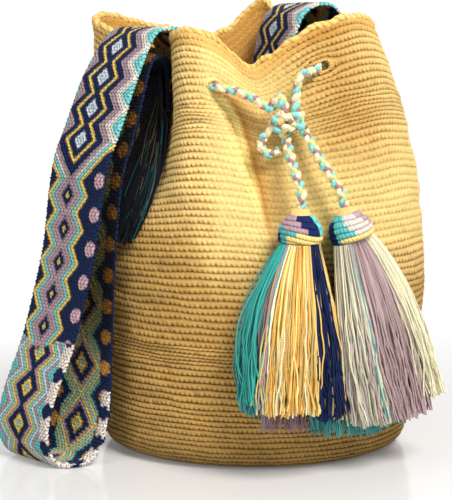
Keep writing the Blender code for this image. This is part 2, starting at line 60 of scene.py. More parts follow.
RIM_BEAD = 0.0008
# The mouth's folds: angle and half width in degrees, how far in and up, and from which level
FOLDS = (
    (-62.0, 26.0, 0.035, -0.017, 0.42),
    (-26.0, 17.0, -0.004, 0.002, 0.45),
    (9.0, 19.0, 0.01, -0.015, 0.55),
    (62.0, 21.0, -0.003, 0.009, 0.4),
    (128.0, 24.0, 0.015, -0.012, 0.5),
    (163.0, 14.5, -0.004, 0.025, 0.5),
    (197.0, 15.0, 0.006, -0.004, 0.6),
    (252.0, 24.0, -0.008, 0.012, 0.4),
)
FOLD_GROWTH = 0.8
FOLD_POWER = 3.0
DIP_ANGLE = 13.0
DIP_HALF_ANGLE = 19.0
DIP_DROP = 0.012
DIP_LEAN = 0.008
DIP_LEVEL = 0.84
PLEAT_TOP_LEVEL = 0.88
PLEAT_TOP_ANGLE = -17.0
PLEAT_LOW_LEVEL = 0.46
PLEAT_LOW_ANGLE = 5.0
PLEAT_DEPTH = 0.0155
PLEAT_LENGTH = 0.03
PLEAT_EDGE = 0.0045
GAP = 0.0003
CORD = 0.0075
# The eyelets: degrees round the wall, level, and length of the straight part
LEFT_EYELET = (-13.7, 0.88, 0.0)
RIGHT_EYELET = (37.3, 0.915, 0.007)
CORD_LEVEL = 0.87
CORD_SLACK = 0.003
LEFT_ARM = 0.09
RIGHT_ARM = 0.07
KNOT_X = 0.021
KNOT_Z = 0.259
KNOT_HALF = (0.012, 0.009, 0.015)
STRAP_WIDTH = 0.057
STRAP_THICKNESS = 0.0035
STRAP_LEFT_ANGLE = -64.0
STRAP_RIGHT_ANGLE = 131.0
SEWN_TOP_LEVEL = 0.95
SEWN_LENGTH = 0.034
FRINGE_LENGTH = 0.1
FRINGE_HALF_WIDTH = 0.015
FRINGE_HALF_DEPTH = 0.0045
SEWN_SLACK = 0.0013
STRAP_LIFT = 0.0105
HEAD_RADIUS = 0.015
HEAD_LENGTH = 0.0235
HEAD_TOP_Z = 0.1962
LEFT_SKIRT_LENGTH = 0.131
RIGHT_SKIRT_LENGTH = 0.142
SKIRT_HALF_DEPTH = 0.018
LEFT_HEAD_X = 0.0298
RIGHT_HEAD_X = 0.0605
LEFT_SKIRT_X = 0.027
RIGHT_SKIRT_X = 0.1028
LEFT_SKIRT_HALF_WIDTH = 0.038
RIGHT_SKIRT_HALF_WIDTH = 0.037
SKIRT_SLACK = 0.0012

# The strap's way down beside the bag and up again: degrees round the bag, share of the rim's
# height, strap widths out from the wall's oval, and degrees turned
STRAP_DOWN = (
    (-60, 0.987, -0.298, 52),
    (-59, 0.974, -0.088, 48),
    (-59, 0.901, 0.053, 45),
    (-61, 0.809, 0.149, 44),
    (-64, 0.698, 0.263, 43),
    (-65, 0.507, 0.351, 42),
    (-66, 0.273, 0.421, 39),
    (-66, 0.125, 0.491, 37),
    (-66, 0.027, 0.667, 38),
    (-66.5, 0.007, 0.877, 43),
    (-67.5, 0.014, 1.14, 43),
)
STRAP_UP = (
    (-67.7, 0.074, 1.262, 43),
    (-67.2, 0.171, 1.158, 43),
    (-65.9, 0.29, 0.93, 43),
    (-64.8, 0.408, 0.772, 43),
    (-63.4, 0.53, 0.649, 43),
    (-62.6, 0.648, 0.579, 42),
    (-61.4, 0.744, 0.509, 41),
    (-60.6, 0.819, 0.368, 41),
    (-58.5, 0.941, 0.158, 43),
)
# Over the rim: strap widths out, strap thicknesses up, and degrees turned
STRAP_CREST = (
    (-0.14, -0.29, 50),
    (-0.386, 0.57, 54),
    (-0.649, -0.29, 56),
)
CREST_ANGLE = -58.0
# Across the mouth: shares of its half width and half depth and of the rim's height, and
# degrees turned
STRAP_SLING = (
    (-0.471, -0.3, 0.938, 58),
    (-0.394, -0.125, 0.823, 57),
    (-0.24, 0.125, 0.731, 58),
    (-0.029, 0.325, 0.731, 60),
    (0.096, 0.331, 0.823, 61),
    (0.125, 0.356, 0.955, 62),
    (0.216, 0.431, 1.08, 61),
    (0.365, 0.55, 1.114, 58),
    (0.49, 0.65, 1.09, 54),
)

# The crochet
STITCHES = 176
PER_STITCH = 4
STITCH_LEAN = -0.5
WALL_HEIGHT = BAG_HEIGHT - BASE_CORNER
CORNER_ARC = BASE_CORNER * math.pi / 2
# Rows from the base upwards: how many, how tall each is in millimetres, and the kind
ROWS = (
    (14, 4.06, "row"),
    (6, 4.92, "row"),
    (1, 3.6, "row"), (1, 2.4, "rope"), (1, 2.9, "row"), (1, 2.6, "rope"),
    (1, 2.9, "row"), (1, 2.4, "rope"), (1, 4.4, "row"),
    (29, 5.04, "row"),
    (1, 4.2, "row"), (1, 2.6, "rope"), (1, 2.8, "row"), (1, 2.8, "rope"),
    (1, 2.8, "row"), (1, 2.3, "rope"), (1, 3.4, "row"), (1, 2.6, "rope"),
    (1, 3.6, "row"),
    (6, 4.8, "row"),
    (2, 4.4, "row"),
    (2, 4.6, "edging"),
)
# From this row on, the rows run more evenly
FIRST_TOP_ROW = 77
# The rope rows under this height get a painted highlight and lighter painted shade in their gaps
LOW_ROPES_TOP = 0.16


def srgb(r, g, b):
    """A screen colour as a linear one."""
    c = np.array([r, g, b], float) / 255.0
    return np.where(c <= 0.04045, c / 12.92, ((c + 0.055) / 1.055) ** 2.4)


def mixed(low, high, share):
    """Between two colours."""
    return low * (1 - share) + high * share


YELLOW = srgb(246, 217, 141)
# Painted shade: the yarn lower down the wall, where less light falls
YELLOW_SHADE_LOW = srgb(206, 167, 95)
# Painted shade: the yarn's deeper orange in shade, for the inside, the rim's edging and the
# eyelets' edges
SHADE_ORANGE = srgb(232, 176, 88)
# Painted shade: the tint for the shaded gathers at the right and the back
GATHER_SHADE_TINT = np.array([0.64, 0.54, 0.43])
# Painted shade: the tint for the pleat's shaded hollow
HOLLOW_SHADE_TINT = np.array([0.7, 0.53, 0.38])
# Painted shade: the yarn's darker, more orange colour where it lies in grooves and gaps
GROOVE_SHADE = srgb(206, 152, 78)
# Painted shade: the grooves lower down the wall, darker still
GROOVE_SHADE_LOW = srgb(156, 108, 48)
NAVY = srgb(22, 38, 84)
TEAL = srgb(110, 214, 212)
TASSEL_TEAL = srgb(62, 164, 156)
TASSEL_MAUVE = srgb(188, 163, 163)
STRAP_TEAL = srgb(114, 192, 190)
STRAP_NAVY = srgb(21, 34, 70)
STRAP_MAUVE = srgb(166, 142, 149)
SHADE = srgb(17, 19, 28)
MAUVE = srgb(172, 144, 152)
CREAM = srgb(224, 212, 204)
PINK = srgb(198, 160, 170)
GREY = srgb(200, 206, 214)
STRAP_YELLOW = srgb(224, 190, 96)
DEEP_YELLOW = srgb(206, 146, 62)
TASSEL_YELLOW = srgb(252, 221, 138)
TASSEL_ORANGE = srgb(244, 190, 98)
PALE = srgb(240, 234, 202)
BRAID_TEAL = srgb(136, 206, 197)
BRAID_MAUVE = srgb(164, 130, 128)
BRAID_CREAM = srgb(238, 222, 184)
BRAID_YELLOW = srgb(238, 206, 130)


# Small mathematics
def vec(x, y, z):
    return np.array([x, y, z], float)


def unit(v):
    """Vectors of the same directions, each of length 1."""
    return v / np.linalg.norm(v, axis=-1, keepdims=True)


def smooth(t):
    """A smooth step from 0 to 1."""
    t = np.clip(t, 0.0, 1.0)
    return t * t * (3.0 - 2.0 * t)


def waves(seed, count, low, high, *axes):
    """Soft unevenness between about -1 and 1, whole waves along the first axis."""
    rng = np.random.default_rng(seed)
    total = 0.0
    for _ in range(count):
        turn = rng.integers(low, high + 1)
        phase = rng.uniform(0, 2 * math.pi)
        wave = turn * axes[0] + phase
        for axis in axes[1:]:
            wave = wave + rng.uniform(-high, high) * axis
        total = total + np.sin(wave)
    return total / math.sqrt(count)


# The wall, as in the CAD
def between(base, belly, mouth, level):
    """A size at a level of the wall, from its sizes at the base, the belly and the mouth."""
    low = 1.0 - level / BELLY_LEVEL
    high = (level - BELLY_LEVEL) / (1.0 - BELLY_LEVEL)
    return np.where(level < BELLY_LEVEL,
                    belly + (base - belly) * low * low,
                    belly + (mouth - belly) * high * high)


def centre(level):
    return (between(0.0, BELLY_SHIFT, MOUTH_SHIFT_X, level),
            between(0.0, 0.0, MOUTH_SHIFT_Y, level))


def turn_between(angle, other):
    """Degrees from other, in degrees, to angle, in radians, within half a turn."""
    return (np.degrees(angle) - other + 180.0) % 360.0 - 180.0


def oval_radius(angle, level):
    """From the wall's middle to its plain oval."""
    wide = between(BASE_HALF_WIDTH, BELLY_HALF_WIDTH, MOUTH_HALF_WIDTH, level)
    deep = between(BASE_HALF_DEPTH, BELLY_HALF_DEPTH, MOUTH_HALF_DEPTH, level)
    return 1.0 / np.hypot(np.sin(angle) / wide, np.cos(angle) / deep)


def pleat_edge(level):
    """The degrees at which the pleat starts."""
    t = (PLEAT_TOP_LEVEL - level) / (PLEAT_TOP_LEVEL - PLEAT_LOW_LEVEL)
    return PLEAT_TOP_ANGLE + (PLEAT_LOW_ANGLE - PLEAT_TOP_ANGLE) * np.clip(t, 0.0, 1.0)


def pleat(angle, level, radius):
    """How far in the pleat takes the wall."""
    t = (PLEAT_TOP_LEVEL - level) / (PLEAT_TOP_LEVEL - PLEAT_LOW_LEVEL)
    past = np.radians(turn_between(angle, pleat_edge(level))) * radius
    shade = smooth(t / 0.25) * smooth((1.0 - t) / 0.6)
    step = smooth(past / PLEAT_EDGE)
    return PLEAT_DEPTH * shade * step * np.exp(-np.maximum(0.0, past) / PLEAT_LENGTH)


def dip(angle, level):
    """How much there is of the dip in the rim, from 0 to 1."""
    near = np.exp(-np.abs(turn_between(angle, DIP_ANGLE) / DIP_HALF_ANGLE) ** 2)
    return near * smooth((level - DIP_LEVEL) / (1.0 - DIP_LEVEL))


def radius_at(angle, level):
    """From the wall's middle to its outer face, with the folds, the dip and the pleat."""
    radius = oval_radius(angle, level)
    inwards = DIP_LEAN * dip(angle, level)
    for at, half, depth, _, fade in FOLDS:
        near = np.exp(-np.abs(turn_between(angle, at) / half) ** FOLD_POWER)
        inwards = inwards + depth * near * smooth((level - fade) / (FOLD_GROWTH * (1.0 - fade)))
    return radius - inwards - pleat(angle, level, radius)


def rise_at(angle, level):
    """How far up the folds and the dip take the wall."""
    up = 0.0
    for at, half, _, rise, fade in FOLDS:
        near = np.exp(-np.abs(turn_between(angle, at) / half) ** 2)
        up = up + rise * near * smooth((level - fade * 0.6) / (1.0 - fade * 0.6))
    return up - DIP_DROP * dip(angle, level)


def plan_point(angle, level):
    """A place on the wall's outer face."""
    cx, cy = centre(level)
    r = radius_at(angle, level)
    z = BASE_CORNER + level * WALL_HEIGHT + rise_at(angle, level)
    x = cx + r * np.sin(angle)
    y = cy - r * np.cos(angle)
    return np.stack(np.broadcast_arrays(x, y, z), axis=-1)


def outwards(angle, level):
    """The level way out of the wall."""
    step = 0.02
    along = plan_point(angle + step, level) - plan_point(angle - step, level)
    return unit(np.stack([along[..., 1], -along[..., 0], np.zeros_like(along[..., 0])], axis=-1))


def wall_point(angle, level, off=0.0):
    return plan_point(angle, level) + outwards(angle, level) * np.asarray(off)[..., None]


def beside(degrees, z, out):
    """A place at a height, so far out from the wall's oval."""
    level = min(1.0, max(0.0, (z - BASE_CORNER) / WALL_HEIGHT))
    angle = math.radians(degrees)
    cx, cy = centre(level)
    r = oval_radius(angle, level) + out
    return vec(cx + r * math.sin(angle), cy - r * math.cos(angle), z)


def front_y(x, z):
    """The front of the wall at a place, outside its rows."""
    level = np.clip((z - BASE_CORNER) / WALL_HEIGHT, 0.0, 0.9)
    cx, cy = centre(level)
    wide = between(BASE_HALF_WIDTH, BELLY_HALF_WIDTH, MOUTH_HALF_WIDTH, level)
    x = np.minimum(x, cx + wide * 0.86)
    angle = np.arctan2(x - cx, MOUTH_HALF_DEPTH)
    for _ in range(12):
        r = radius_at(angle, level)
        angle = np.arcsin(np.clip((x - cx) / r, -0.95, 0.95))
    return cy - radius_at(angle, level) * np.cos(angle) - ROW_DEPTH


def fine_route(points):
    """A smooth line through the points."""
    p = [np.asarray(q, float) for q in points]
    p = [2 * p[0] - p[1], *p, 2 * p[-1] - p[-2]]
    fine = []
    for a, b, c, d in zip(p, p[1:], p[2:], p[3:]):
        for t in np.arange(0.0, 1.0, 0.05):
            fine.append(0.5 * (2 * b + (c - a) * t + (2 * a - 5 * b + 4 * c - d) * t * t
                               + (3 * b - a - 3 * c + d) * t ** 3))
    fine.append(p[-2])
    return np.array(fine)


def lengths(line):
    """How far along a line each of its points is."""
    return np.concatenate([[0], np.cumsum(np.linalg.norm(np.diff(line, axis=0), axis=1))])


def resampled(line, count, start=0.0, end=None):
    """Evenly spaced points along a line, between two distances along it."""
    along = lengths(line)
    at = np.linspace(start, along[-1] if end is None else end, count)
    return np.stack([np.interp(at, along, line[:, k]) for k in range(3)], axis=1)


# Meshes
def placed(name, data):
    obj = bpy.data.objects.new(name, data)
    bpy.context.scene.collection.objects.link(obj)
    return obj


def add_piece(name, verts, faces, mat, slot, tint, uv, node=None):
    """A piece of the visual model; tint and uv have a row for each vertex or face corner."""
    mesh = bpy.data.meshes.new(name)
    mesh.from_pydata(verts, [], faces)
    mesh.shade_smooth()
    domain = "POINT" if len(tint) == len(mesh.vertices) else "CORNER"
    layer = mesh.color_attributes.new("tint", "FLOAT_COLOR", domain)
    rgba = np.concatenate([tint, np.ones((len(tint), 1))], axis=1)[:, :4]
    layer.data.foreach_set("color", rgba.ravel())
    corners = np.zeros(len(mesh.loops), np.int32)
    mesh.loops.foreach_get("vertex_index", corners)
    layer = mesh.uv_layers.new(name="UVMap")
    layer.data.foreach_set("uv", (uv if len(uv) == len(corners) else uv[corners]).ravel())
    mesh.materials.append(mat)
    obj = placed(name, mesh)
    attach(obj, "root")
    if node:
        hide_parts(node)
    return obj


def grid_faces(rows, columns):
    """Quads of a grid of rows of points that close into rings."""
    i, k = np.meshgrid(np.arange(rows - 1), np.arange(columns), indexing="ij")
    a = (i * columns + k).ravel()
    b = (i * columns + (k + 1) % columns).ravel()
    return np.stack([a, b, b + columns, a + columns], axis=1)


def normals(grid):
    """Normals of a grid of points, (rows, columns, 3), whose rows are rings."""
    across = np.roll(grid, -1, axis=1) - np.roll(grid, 1, axis=1)
    return unit(np.cross(across, np.gradient(grid, axis=0)))


def frames(path):
    """Two directions square to a path, turning with it as little as possible."""
    tangent = unit(np.gradient(path, axis=0))
    side = np.cross(tangent[0], vec(0.0, 0.2, 1.0))
    if np.linalg.norm(side) < 0.1:
        side = np.cross(tangent[0], vec(1.0, 0.3, 0.0))
    sides = []
    for t in tangent:
        side = unit(side - t * (side @ t))
        sides.append(side)
    sides = np.array(sides)
    return sides, np.cross(tangent, sides)


def yarns(name, paths, radius, colours, sides, twist, mat, slot, node, caps=False):
    """A piece of round yarns along many paths of equal point counts.

    paths is (count, points, 3); radius is a number or (count, points); colours is (count, 3).
    The UVs go around and along each yarn.
    """
    paths = np.asarray(paths, float)
    count, points = paths.shape[:2]
    tangent = unit(np.gradient(paths, axis=1))
    guide = np.where(np.abs(tangent[..., :1]) > 0.8, vec(0, 1, 0.3), vec(1, 0.2, 0))
    side = unit(np.cross(tangent, guide))
    other = np.cross(tangent, side)
    turn = np.arange(sides) * 2 * math.pi / sides
    r = np.broadcast_to(np.asarray(radius, float), (count, points))[..., None, None]
    ring = side[..., None, :] * np.cos(turn)[:, None] + other[..., None, :] * np.sin(turn)[:, None]
    verts = (paths[..., None, :] + ring * r).reshape(-1, 3)
    firsts = np.arange(count) * points * sides
    faces = (grid_faces(points, sides) + firsts[:, None, None]).reshape(-1, 4)
    if caps:
        faces = [tuple(f) for f in faces]
        for first in firsts:
            last = first + (points - 1) * sides
            faces.append(tuple(range(first + sides - 1, first - 1, -1)))
            faces.append(tuple(range(last, last + sides)))
    tint = np.repeat(colours, points * sides, axis=0)
    step = np.linalg.norm(np.diff(paths, axis=1), axis=2)
    along = np.concatenate([np.zeros((count, 1)), np.cumsum(step, axis=1)], axis=1)
    u = np.broadcast_to(turn / (2 * math.pi), (count, points, sides))
    v = np.broadcast_to(along[..., None], (count, points, sides)) * twist
    uv = np.stack([u, v], axis=-1).reshape(-1, 2)
    return add_piece(name, verts, faces, mat, slot, tint, uv, node)


# Materials
class Value:
    """A number in a node tree, with the usual signs."""

    def __init__(self, nodes, socket):
        self.nodes, self.socket = nodes, socket

    def __add__(self, other):
        return self.nodes.math("ADD", self, other)

    def __sub__(self, other):
        return self.nodes.math("SUBTRACT", self, other)

    def __mul__(self, other):
        return self.nodes.math("MULTIPLY", self, other)


class Nodes:
    """A short way to build the node tree of a material or a world."""

    def __init__(self, owner):
        owner.use_nodes = True
        self.owner, self.tree = owner, owner.node_tree

    def fill(self, node, inputs):
        """Sets or links a node's inputs, by their names or numbers."""
        for key, value in inputs.items():
            value = value.socket if isinstance(value, Value) else value
            if isinstance(value, bpy.types.NodeSocket):
                self.tree.links.new(value, node.inputs[key])
            else:
                node.inputs[key].default_value = value

    def add(self, kind, inputs=None, **settings):
        node = self.tree.nodes.new("ShaderNode" + kind)
        for key, value in settings.items():
            setattr(node, key, value)
        self.fill(node, inputs or {})
        return node

    def math(self, operation, a, b=0.0):
        return Value(self, self.add("Math", {0: a, 1: b}, operation=operation).outputs[0])

    def fract(self, value):
        return self.math("FRACT", value)

    def away(self, value):
        """The distance from the nearest whole number."""
        return self.math("ABSOLUTE", self.fract(value + 0.5) - 0.5)

    def ramp(self, value, low, high, at_low=0.0, at_high=1.0):
        """A smooth change of value between two limits."""
        ends = {"From Min": low, "From Max": high, "To Min": at_low, "To Max": at_high}
        node = self.add("MapRange", {"Value": value, **ends}, interpolation_type="SMOOTHSTEP")
        return Value(self, node.outputs[0])

    def place(self, scale=(1.0, 1.0, 1.0)):
        """Where a point is on the object."""
        found = self.add("TexCoord").outputs["Object"]
        return self.add("Mapping", {"Vector": found, "Scale": scale}).outputs[0]

    def noise(self, scale, detail, place):
        node = self.add("TexNoise", {"Scale": scale, "Detail": detail, "Vector": place})
        return Value(self, node.outputs["Fac"])

    def uv(self):
        """The two UV coordinates."""
        parts = self.add("SeparateXYZ", {"Vector": self.add("UVMap").outputs[0]})
        return Value(self, parts.outputs["X"]), Value(self, parts.outputs["Y"])

    def tint(self, output="Color"):
        return Value(self, self.add("Attribute", attribute_name="tint").outputs[output])

    def cloth(self, shade, height, strength, distance, roughness):
        """A matte material: its tint times a shade, with a relief."""
        colour = self.add("VectorMath", {0: self.tint(), "Scale": shade}, operation="SCALE")
        bump = self.add("Bump", {"Strength": strength, "Distance": distance, "Height": height})
        self.fill(self.tree.nodes["Principled BSDF"], {
            "Base Color": colour.outputs[0], "Normal": bump.outputs[0], "Roughness": roughness,
            "Specular IOR Level": 0.1, "Sheen Weight": 0.03, "Sheen Roughness": 0.5})
        return self.owner

    def blend(self, share, first, second, end):
        """Two shaders mixed by a share, as the tree's result."""
        mix = self.add("MixShader", {"Fac": share, 1: first.outputs[0], 2: second.outputs[0]})
        self.fill(self.tree.nodes[end], {"Surface": mix.outputs[0]})


def crochet_material():
    """Cotton yarn: the tint, mottled, plies, fibres, and painted shade as dark points between
    stitches.
    """
    n = Nodes(bpy.data.materials.new("crochet_cotton_yarn"))
    place = n.place()
    stitch, row = n.uv()
    fibre, patch, yarn = (n.noise(scale, detail, place)
                          for scale, detail in ((1500.0, 3.0), (55.0, 3.0), (640.0, 2.0)))
    up = n.fract(row)
    width = n.ramp(up, 0.0, 0.72, 0.19, -0.1)
    point = n.ramp(width - n.away(stitch + up * 0.5), 0.0, 0.12)
    line = n.ramp(n.away(row), 0.0, 0.15, 1.0, 0.0) * n.ramp(row, 14.0, 30.0, 0.95, 0.32)
    # The tint's alpha says how dark the painted shade in the gaps between stitches and rows is
    # there
    dark = n.math("MAXIMUM", point, line) * n.tint("Alpha")
    plies = n.math("SINE", stitch * (6 * math.pi) + up * 9.0)
    level = fibre * 0.5 + patch * 0.2 + yarn * 0.56
    height = fibre + yarn * 1.6 + plies * 0.35 - dark * 1.2
    return n.cloth(level + 0.4 - dark * 0.52, height, 0.75, 0.0008, 0.9)


def yarn_material(name, mottle, fuzz=900.0):
    """Plied yarn: slanted plies along each strand from its UVs, over the tint; painted shade
    between plies.
    """
    n = Nodes(bpy.data.materials.new(name))
    around, along = n.uv()
    wave = n.math("SINE", around * (4 * math.pi) + along)
    fibre = n.noise(fuzz, 3.0, n.place())
    shade = fibre * mottle + wave * 0.1 + (1.0 - mottle / 2)
    return n.cloth(shade, wave * 0.5 + fibre, 0.6, 0.0004, 0.8)


def woven_material():
    """The strap's knots: slanted beads of the tint with dark gaps of painted shade between them."""
    n = Nodes(bpy.data.materials.new("woven_cotton_knots"))
    place = n.place()
    knot, row = n.uv()
    fibre, yarn = n.noise(1700.0, 3.0, place), n.noise(520.0, 2.0, place)
    beside = n.fract(knot)
    across, down = beside - 0.5, n.fract(row + beside * 0.45) - 0.5
    far = across * across * 3.4 + down * down * 3.0
    shade = (fibre * 0.35 + yarn * 0.4 + 0.72) * n.ramp(far, 0.4, 1.15, 1.0, 0.28)
    return n.cloth(shade, fibre * 0.3 + yarn * 0.3 - far, 0.8, 0.0008, 0.88)


# Camera and light
CAMERA_PLACE = (-0.022, -1.078, 0.311)
# How far down the camera looks
CAMERA_DROP = math.atan(0.15)
CAMERA_LENS = 100.8
# Name, place, target, size, power and colour
LAMPS = (
    ("key", (0.72, -1.12, 1.62), (0.0, 0.0, 0.16), 0.75, 51.0, (1.0, 0.985, 0.96)),
    ("fill", (-1.1, -0.95, 0.8), (-0.08, -0.05, 0.22), 0.9, 6.5, (1.0, 0.98, 0.95)),
)
SKY_LIGHT = 0.34
WHITE = (1.0, 1.0, 1.0, 1.0)
FLOOR_HALF = 3.0


def camera():
    data = bpy.data.cameras.new("view_camera")
    data.sensor_width, data.lens = 36.0, CAMERA_LENS
    obj = placed("view_camera", data)
    obj.location = CAMERA_PLACE
    obj.rotation_euler = (math.pi / 2 - CAMERA_DROP, 0.0, 0.0)
    bpy.context.scene.camera = obj


def area_light(name, place, target, size, energy, colour):
    data = bpy.data.lights.new(name, "AREA")
    data.size, data.energy, data.color = size, energy, colour
    obj = placed(name, data)
    obj.location = place
    aim = np.subtract(target, place)
    yaw = math.atan2(aim[0], -aim[1])
    pitch = math.atan2(math.hypot(aim[0], aim[1]), -aim[2])
    obj.rotation_euler = (pitch, 0.0, yaw + math.pi)


def studio():
    """The lamps, an even light from all sides and a background that shows white."""
    world = bpy.data.worlds.new("studio")
    bpy.context.scene.world = world
    n = Nodes(world)
    light = n.tree.nodes["Background"]
    n.fill(light, {"Color": WHITE, "Strength": SKY_LIGHT})
    white = n.add("Background", {"Color": WHITE, "Strength": 1.0})
    rays = n.add("LightPath").outputs
    seen = n.math("MAXIMUM", rays["Is Camera Ray"], rays["Is Glossy Ray"])
    n.blend(seen, light, white, "World Output")
    for lamp in LAMPS:
        area_light(*lamp)


def floor():
    """A white glossy floor that fades into the background."""
    n = Nodes(bpy.data.materials.new("floor_white"))
    shader = n.tree.nodes["Principled BSDF"]
    n.fill(shader, {"Base Color": (0.7, 0.7, 0.69, 1.0), "Roughness": 0.14,
                    "Specular IOR Level": 0.5})
    away = n.add("VectorMath", {0: n.place((1.0, 1.0, 0.0))}, operation="LENGTH")
    fade = n.add("MapRange", {"Value": away.outputs["Value"], "From Min": 0.15,
                              "From Max": 0.44, "To Min": 0.12})
    rays = n.add("LightPath").outputs
    seen = n.math("MULTIPLY", fade.outputs[0], rays["Is Camera Ray"])
    n.blend(seen, shader, n.add("Emission", {"Strength": 1.0}), "Material Output")
    mesh = bpy.data.meshes.new("floor")
    corners = [(x * FLOOR_HALF, y * FLOOR_HALF, 0) for x, y in ((-1, -1), (1, -1), (1, 1), (-1, 1))]
    mesh.from_pydata(corners, [], [(0, 1, 2, 3)])
    mesh.materials.append(n.owner)
    placed("floor", mesh)


# The crocheted bucket
def eyelet_frame(degrees, level):
    """The middle of an eyelet, and the ways out of the wall and along it there."""
    angle = math.radians(degrees)
    step = 0.05
    along = wall_point(angle + step, level) - wall_point(angle - step, level)
    out = outwards(angle, level)
    along = unit(along - out * (along @ out))
    return wall_point(angle, level, -WALL / 2), out, along


HOLE = 0.0039
HOLE_REACH = 3.2 * HOLE
NEAR_WALL = 0.025


def from_eyelets(points):
    """For each eyelet: its ways along and up the wall, and the points' distances along (past
    its straight part), up and out."""
    for degrees, level, length in (LEFT_EYELET, RIGHT_EYELET):
        mid, out, along = eyelet_frame(degrees, level)
        up = np.cross(out, along)
        rel = points - mid
        a = rel @ along
        yield along, up, a - np.clip(a, -length / 2, length / 2), rel @ up, rel @ out


def opened(grid):
    """Grid points pushed out of the two eyelets."""
    points = grid.reshape(-1, 3).copy()
    for along, up, a, b, c in from_eyelets(points):
        away = np.hypot(a, b)
        pushed = HOLE + away * (HOLE_REACH - HOLE) / HOLE_REACH
        near = (away < HOLE_REACH) & (np.abs(c) < NEAR_WALL)
        scale = np.where(near, pushed / np.maximum(away, 1e-6) - 1.0, 0.0)
        points += along * (a * scale)[:, None] + up * (b * scale)[:, None]
    return points.reshape(grid.shape)


def holed(grid):
    """A grid's points in one list, and its faces without those in the eyelets."""
    points = grid.reshape(-1, 3)
    faces = grid_faces(*grid.shape[:2])
    middles = points[faces].mean(axis=1)
    hit = np.zeros(len(faces), bool)
    for _, _, a, b, c in from_eyelets(middles):
        hit |= (np.hypot(a, b) < HOLE * 0.96) & (np.abs(c) < NEAR_WALL)
    return points, faces[~hit]


def crochet_piece(name, verts, faces, mat, tint, uv=None, node="bag_body"):
    uv = np.full((len(verts), 2), 0.5) if uv is None else uv
    add_piece(name, verts, faces, mat, "crochet_cotton", tint, uv, node)


# The lines of the grid in each row, as shares of its height
ROW_LINES = (0.0, 0.27, 0.68)
ROPE_LINES = (0.0, 0.34, 0.7)


def row_steps():
    """For each line of the grid: distance up the wall, row number, place in the row, kind."""
    steps = []
    total, number = 0.0, 0
    for count, tall, kind in ROWS:
        for _ in range(count):
            for v in ROPE_LINES if kind == "rope" else ROW_LINES:
                steps.append((total + v * tall / 1000.0, number + v, v, kind))
            total += tall / 1000.0
            number += 1
    steps.append((total, float(number), 0.0, "row"))
    scale = (CORNER_ARC + WALL_HEIGHT) / total
    return [(s * scale, n, v, kind) for s, n, v, kind in steps]


def stitch_height(v, kind, phase):
    """Height in millimetres of the crochet at a place in its row and in its stitch."""
    slit = np.clip(1.0 - 4.0 * np.abs(((phase + 0.5) % 1.0) - 0.5), 0.0, 1.0)
    if kind == "rope":
        other = np.clip(1.0 - 4.0 * np.abs(((phase + 1.0) % 1.0) - 0.5), 0.0, 1.0)
        if v == 0.0:
            return -0.45 - 0.15 * slit
        return 0.15 - 0.45 * (slit if v < 0.5 else other)
    if v == 0.0:
        high = -0.34 - 0.18 * slit
    elif v < 0.4:
        high = 0.06 - 0.36 * slit + 0.08 * np.cos(2 * math.pi * (phase - 0.5))
    else:
        high = 0.28 - 0.12 * slit
    return high * 1.1 + 0.3 if kind == "edging" else high


# The line of the pleat's fold, where its painted shade starts: shares of the wall's height, and
# degrees
CREASE = ((0.42, 2.5), (0.487, 1.7), (0.603, 0.5), (0.793, -5.0), (0.84, -9.2), (0.86, -14.5))


def gathers_and_back_shade(angle, z):
    """Painted shade: how much deeper the colour is in the gathers at the right, and round the back.
    """
    shade_share = np.exp(-(turn_between(angle, 42.0) / 18.0) ** 2) * smooth((z - 0.195) / 0.06)
    shade_share = shade_share + 0.4 * smooth((np.abs(turn_between(angle, 0.0)) - 80.0) / 40.0)
    return np.clip(shade_share, 0.0, 1.0)[..., None]


def hollow_shade(past, level):
    """Painted shade: how dark the pleat's hollow is painted, by the metres past the fold."""
    crease = 0.45 * np.exp(-((past - 0.001) / 0.0024) ** 2)
    crease = crease + 1.15 * smooth(past / 0.003) * np.exp(-np.maximum(0.0, past) / 0.016)
    crease = crease * smooth((0.875 - level) / 0.02) * smooth((level - 0.42) / 0.22)
    return np.clip(crease, 0.0, 1.3)[..., None]


def shading(angle, z):
    """Painted shade on gathers, back, pleat's hollow, left and base, and painted light beside the
    fold.
    """
    level = np.clip((z - BASE_CORNER) / WALL_HEIGHT, 0.0, 1.0)
    heights, degrees = np.array(CREASE).T
    past = np.radians(turn_between(angle, np.interp(level, heights, degrees)))
    past = past * oval_radius(angle, level)
    factor = 1.0 - gathers_and_back_shade(angle, z) * (1.0 - GATHER_SHADE_TINT)
    factor = factor * (1.0 - hollow_shade(past, level) * (1.0 - HOLLOW_SHADE_TINT))
    # Painted light: up to 30% lighter just ahead of the pleat's fold
    ahead = smooth(-past / 0.002) * np.exp(-(past / 0.009) ** 2) * smooth((level - 0.5) / 0.2)
    factor = factor * (1.0 + 0.3 * ahead * smooth((0.87 - level) / 0.03))[..., None]
    at = turn_between(angle, 0.0)
    # Painted shade: a little darker low on the left, which faces away from the key lamp, and darker
    # at the base, by the floor
    side = smooth((-22.0 - at) / 22.0) * smooth((at + 130.0) / 50.0) * smooth((0.215 - z) / 0.06)
    dark = (1.0 - 0.07 * side) * (1.0 - 0.38 * smooth((0.04 - z) / 0.045))
    return factor * dark[..., None]


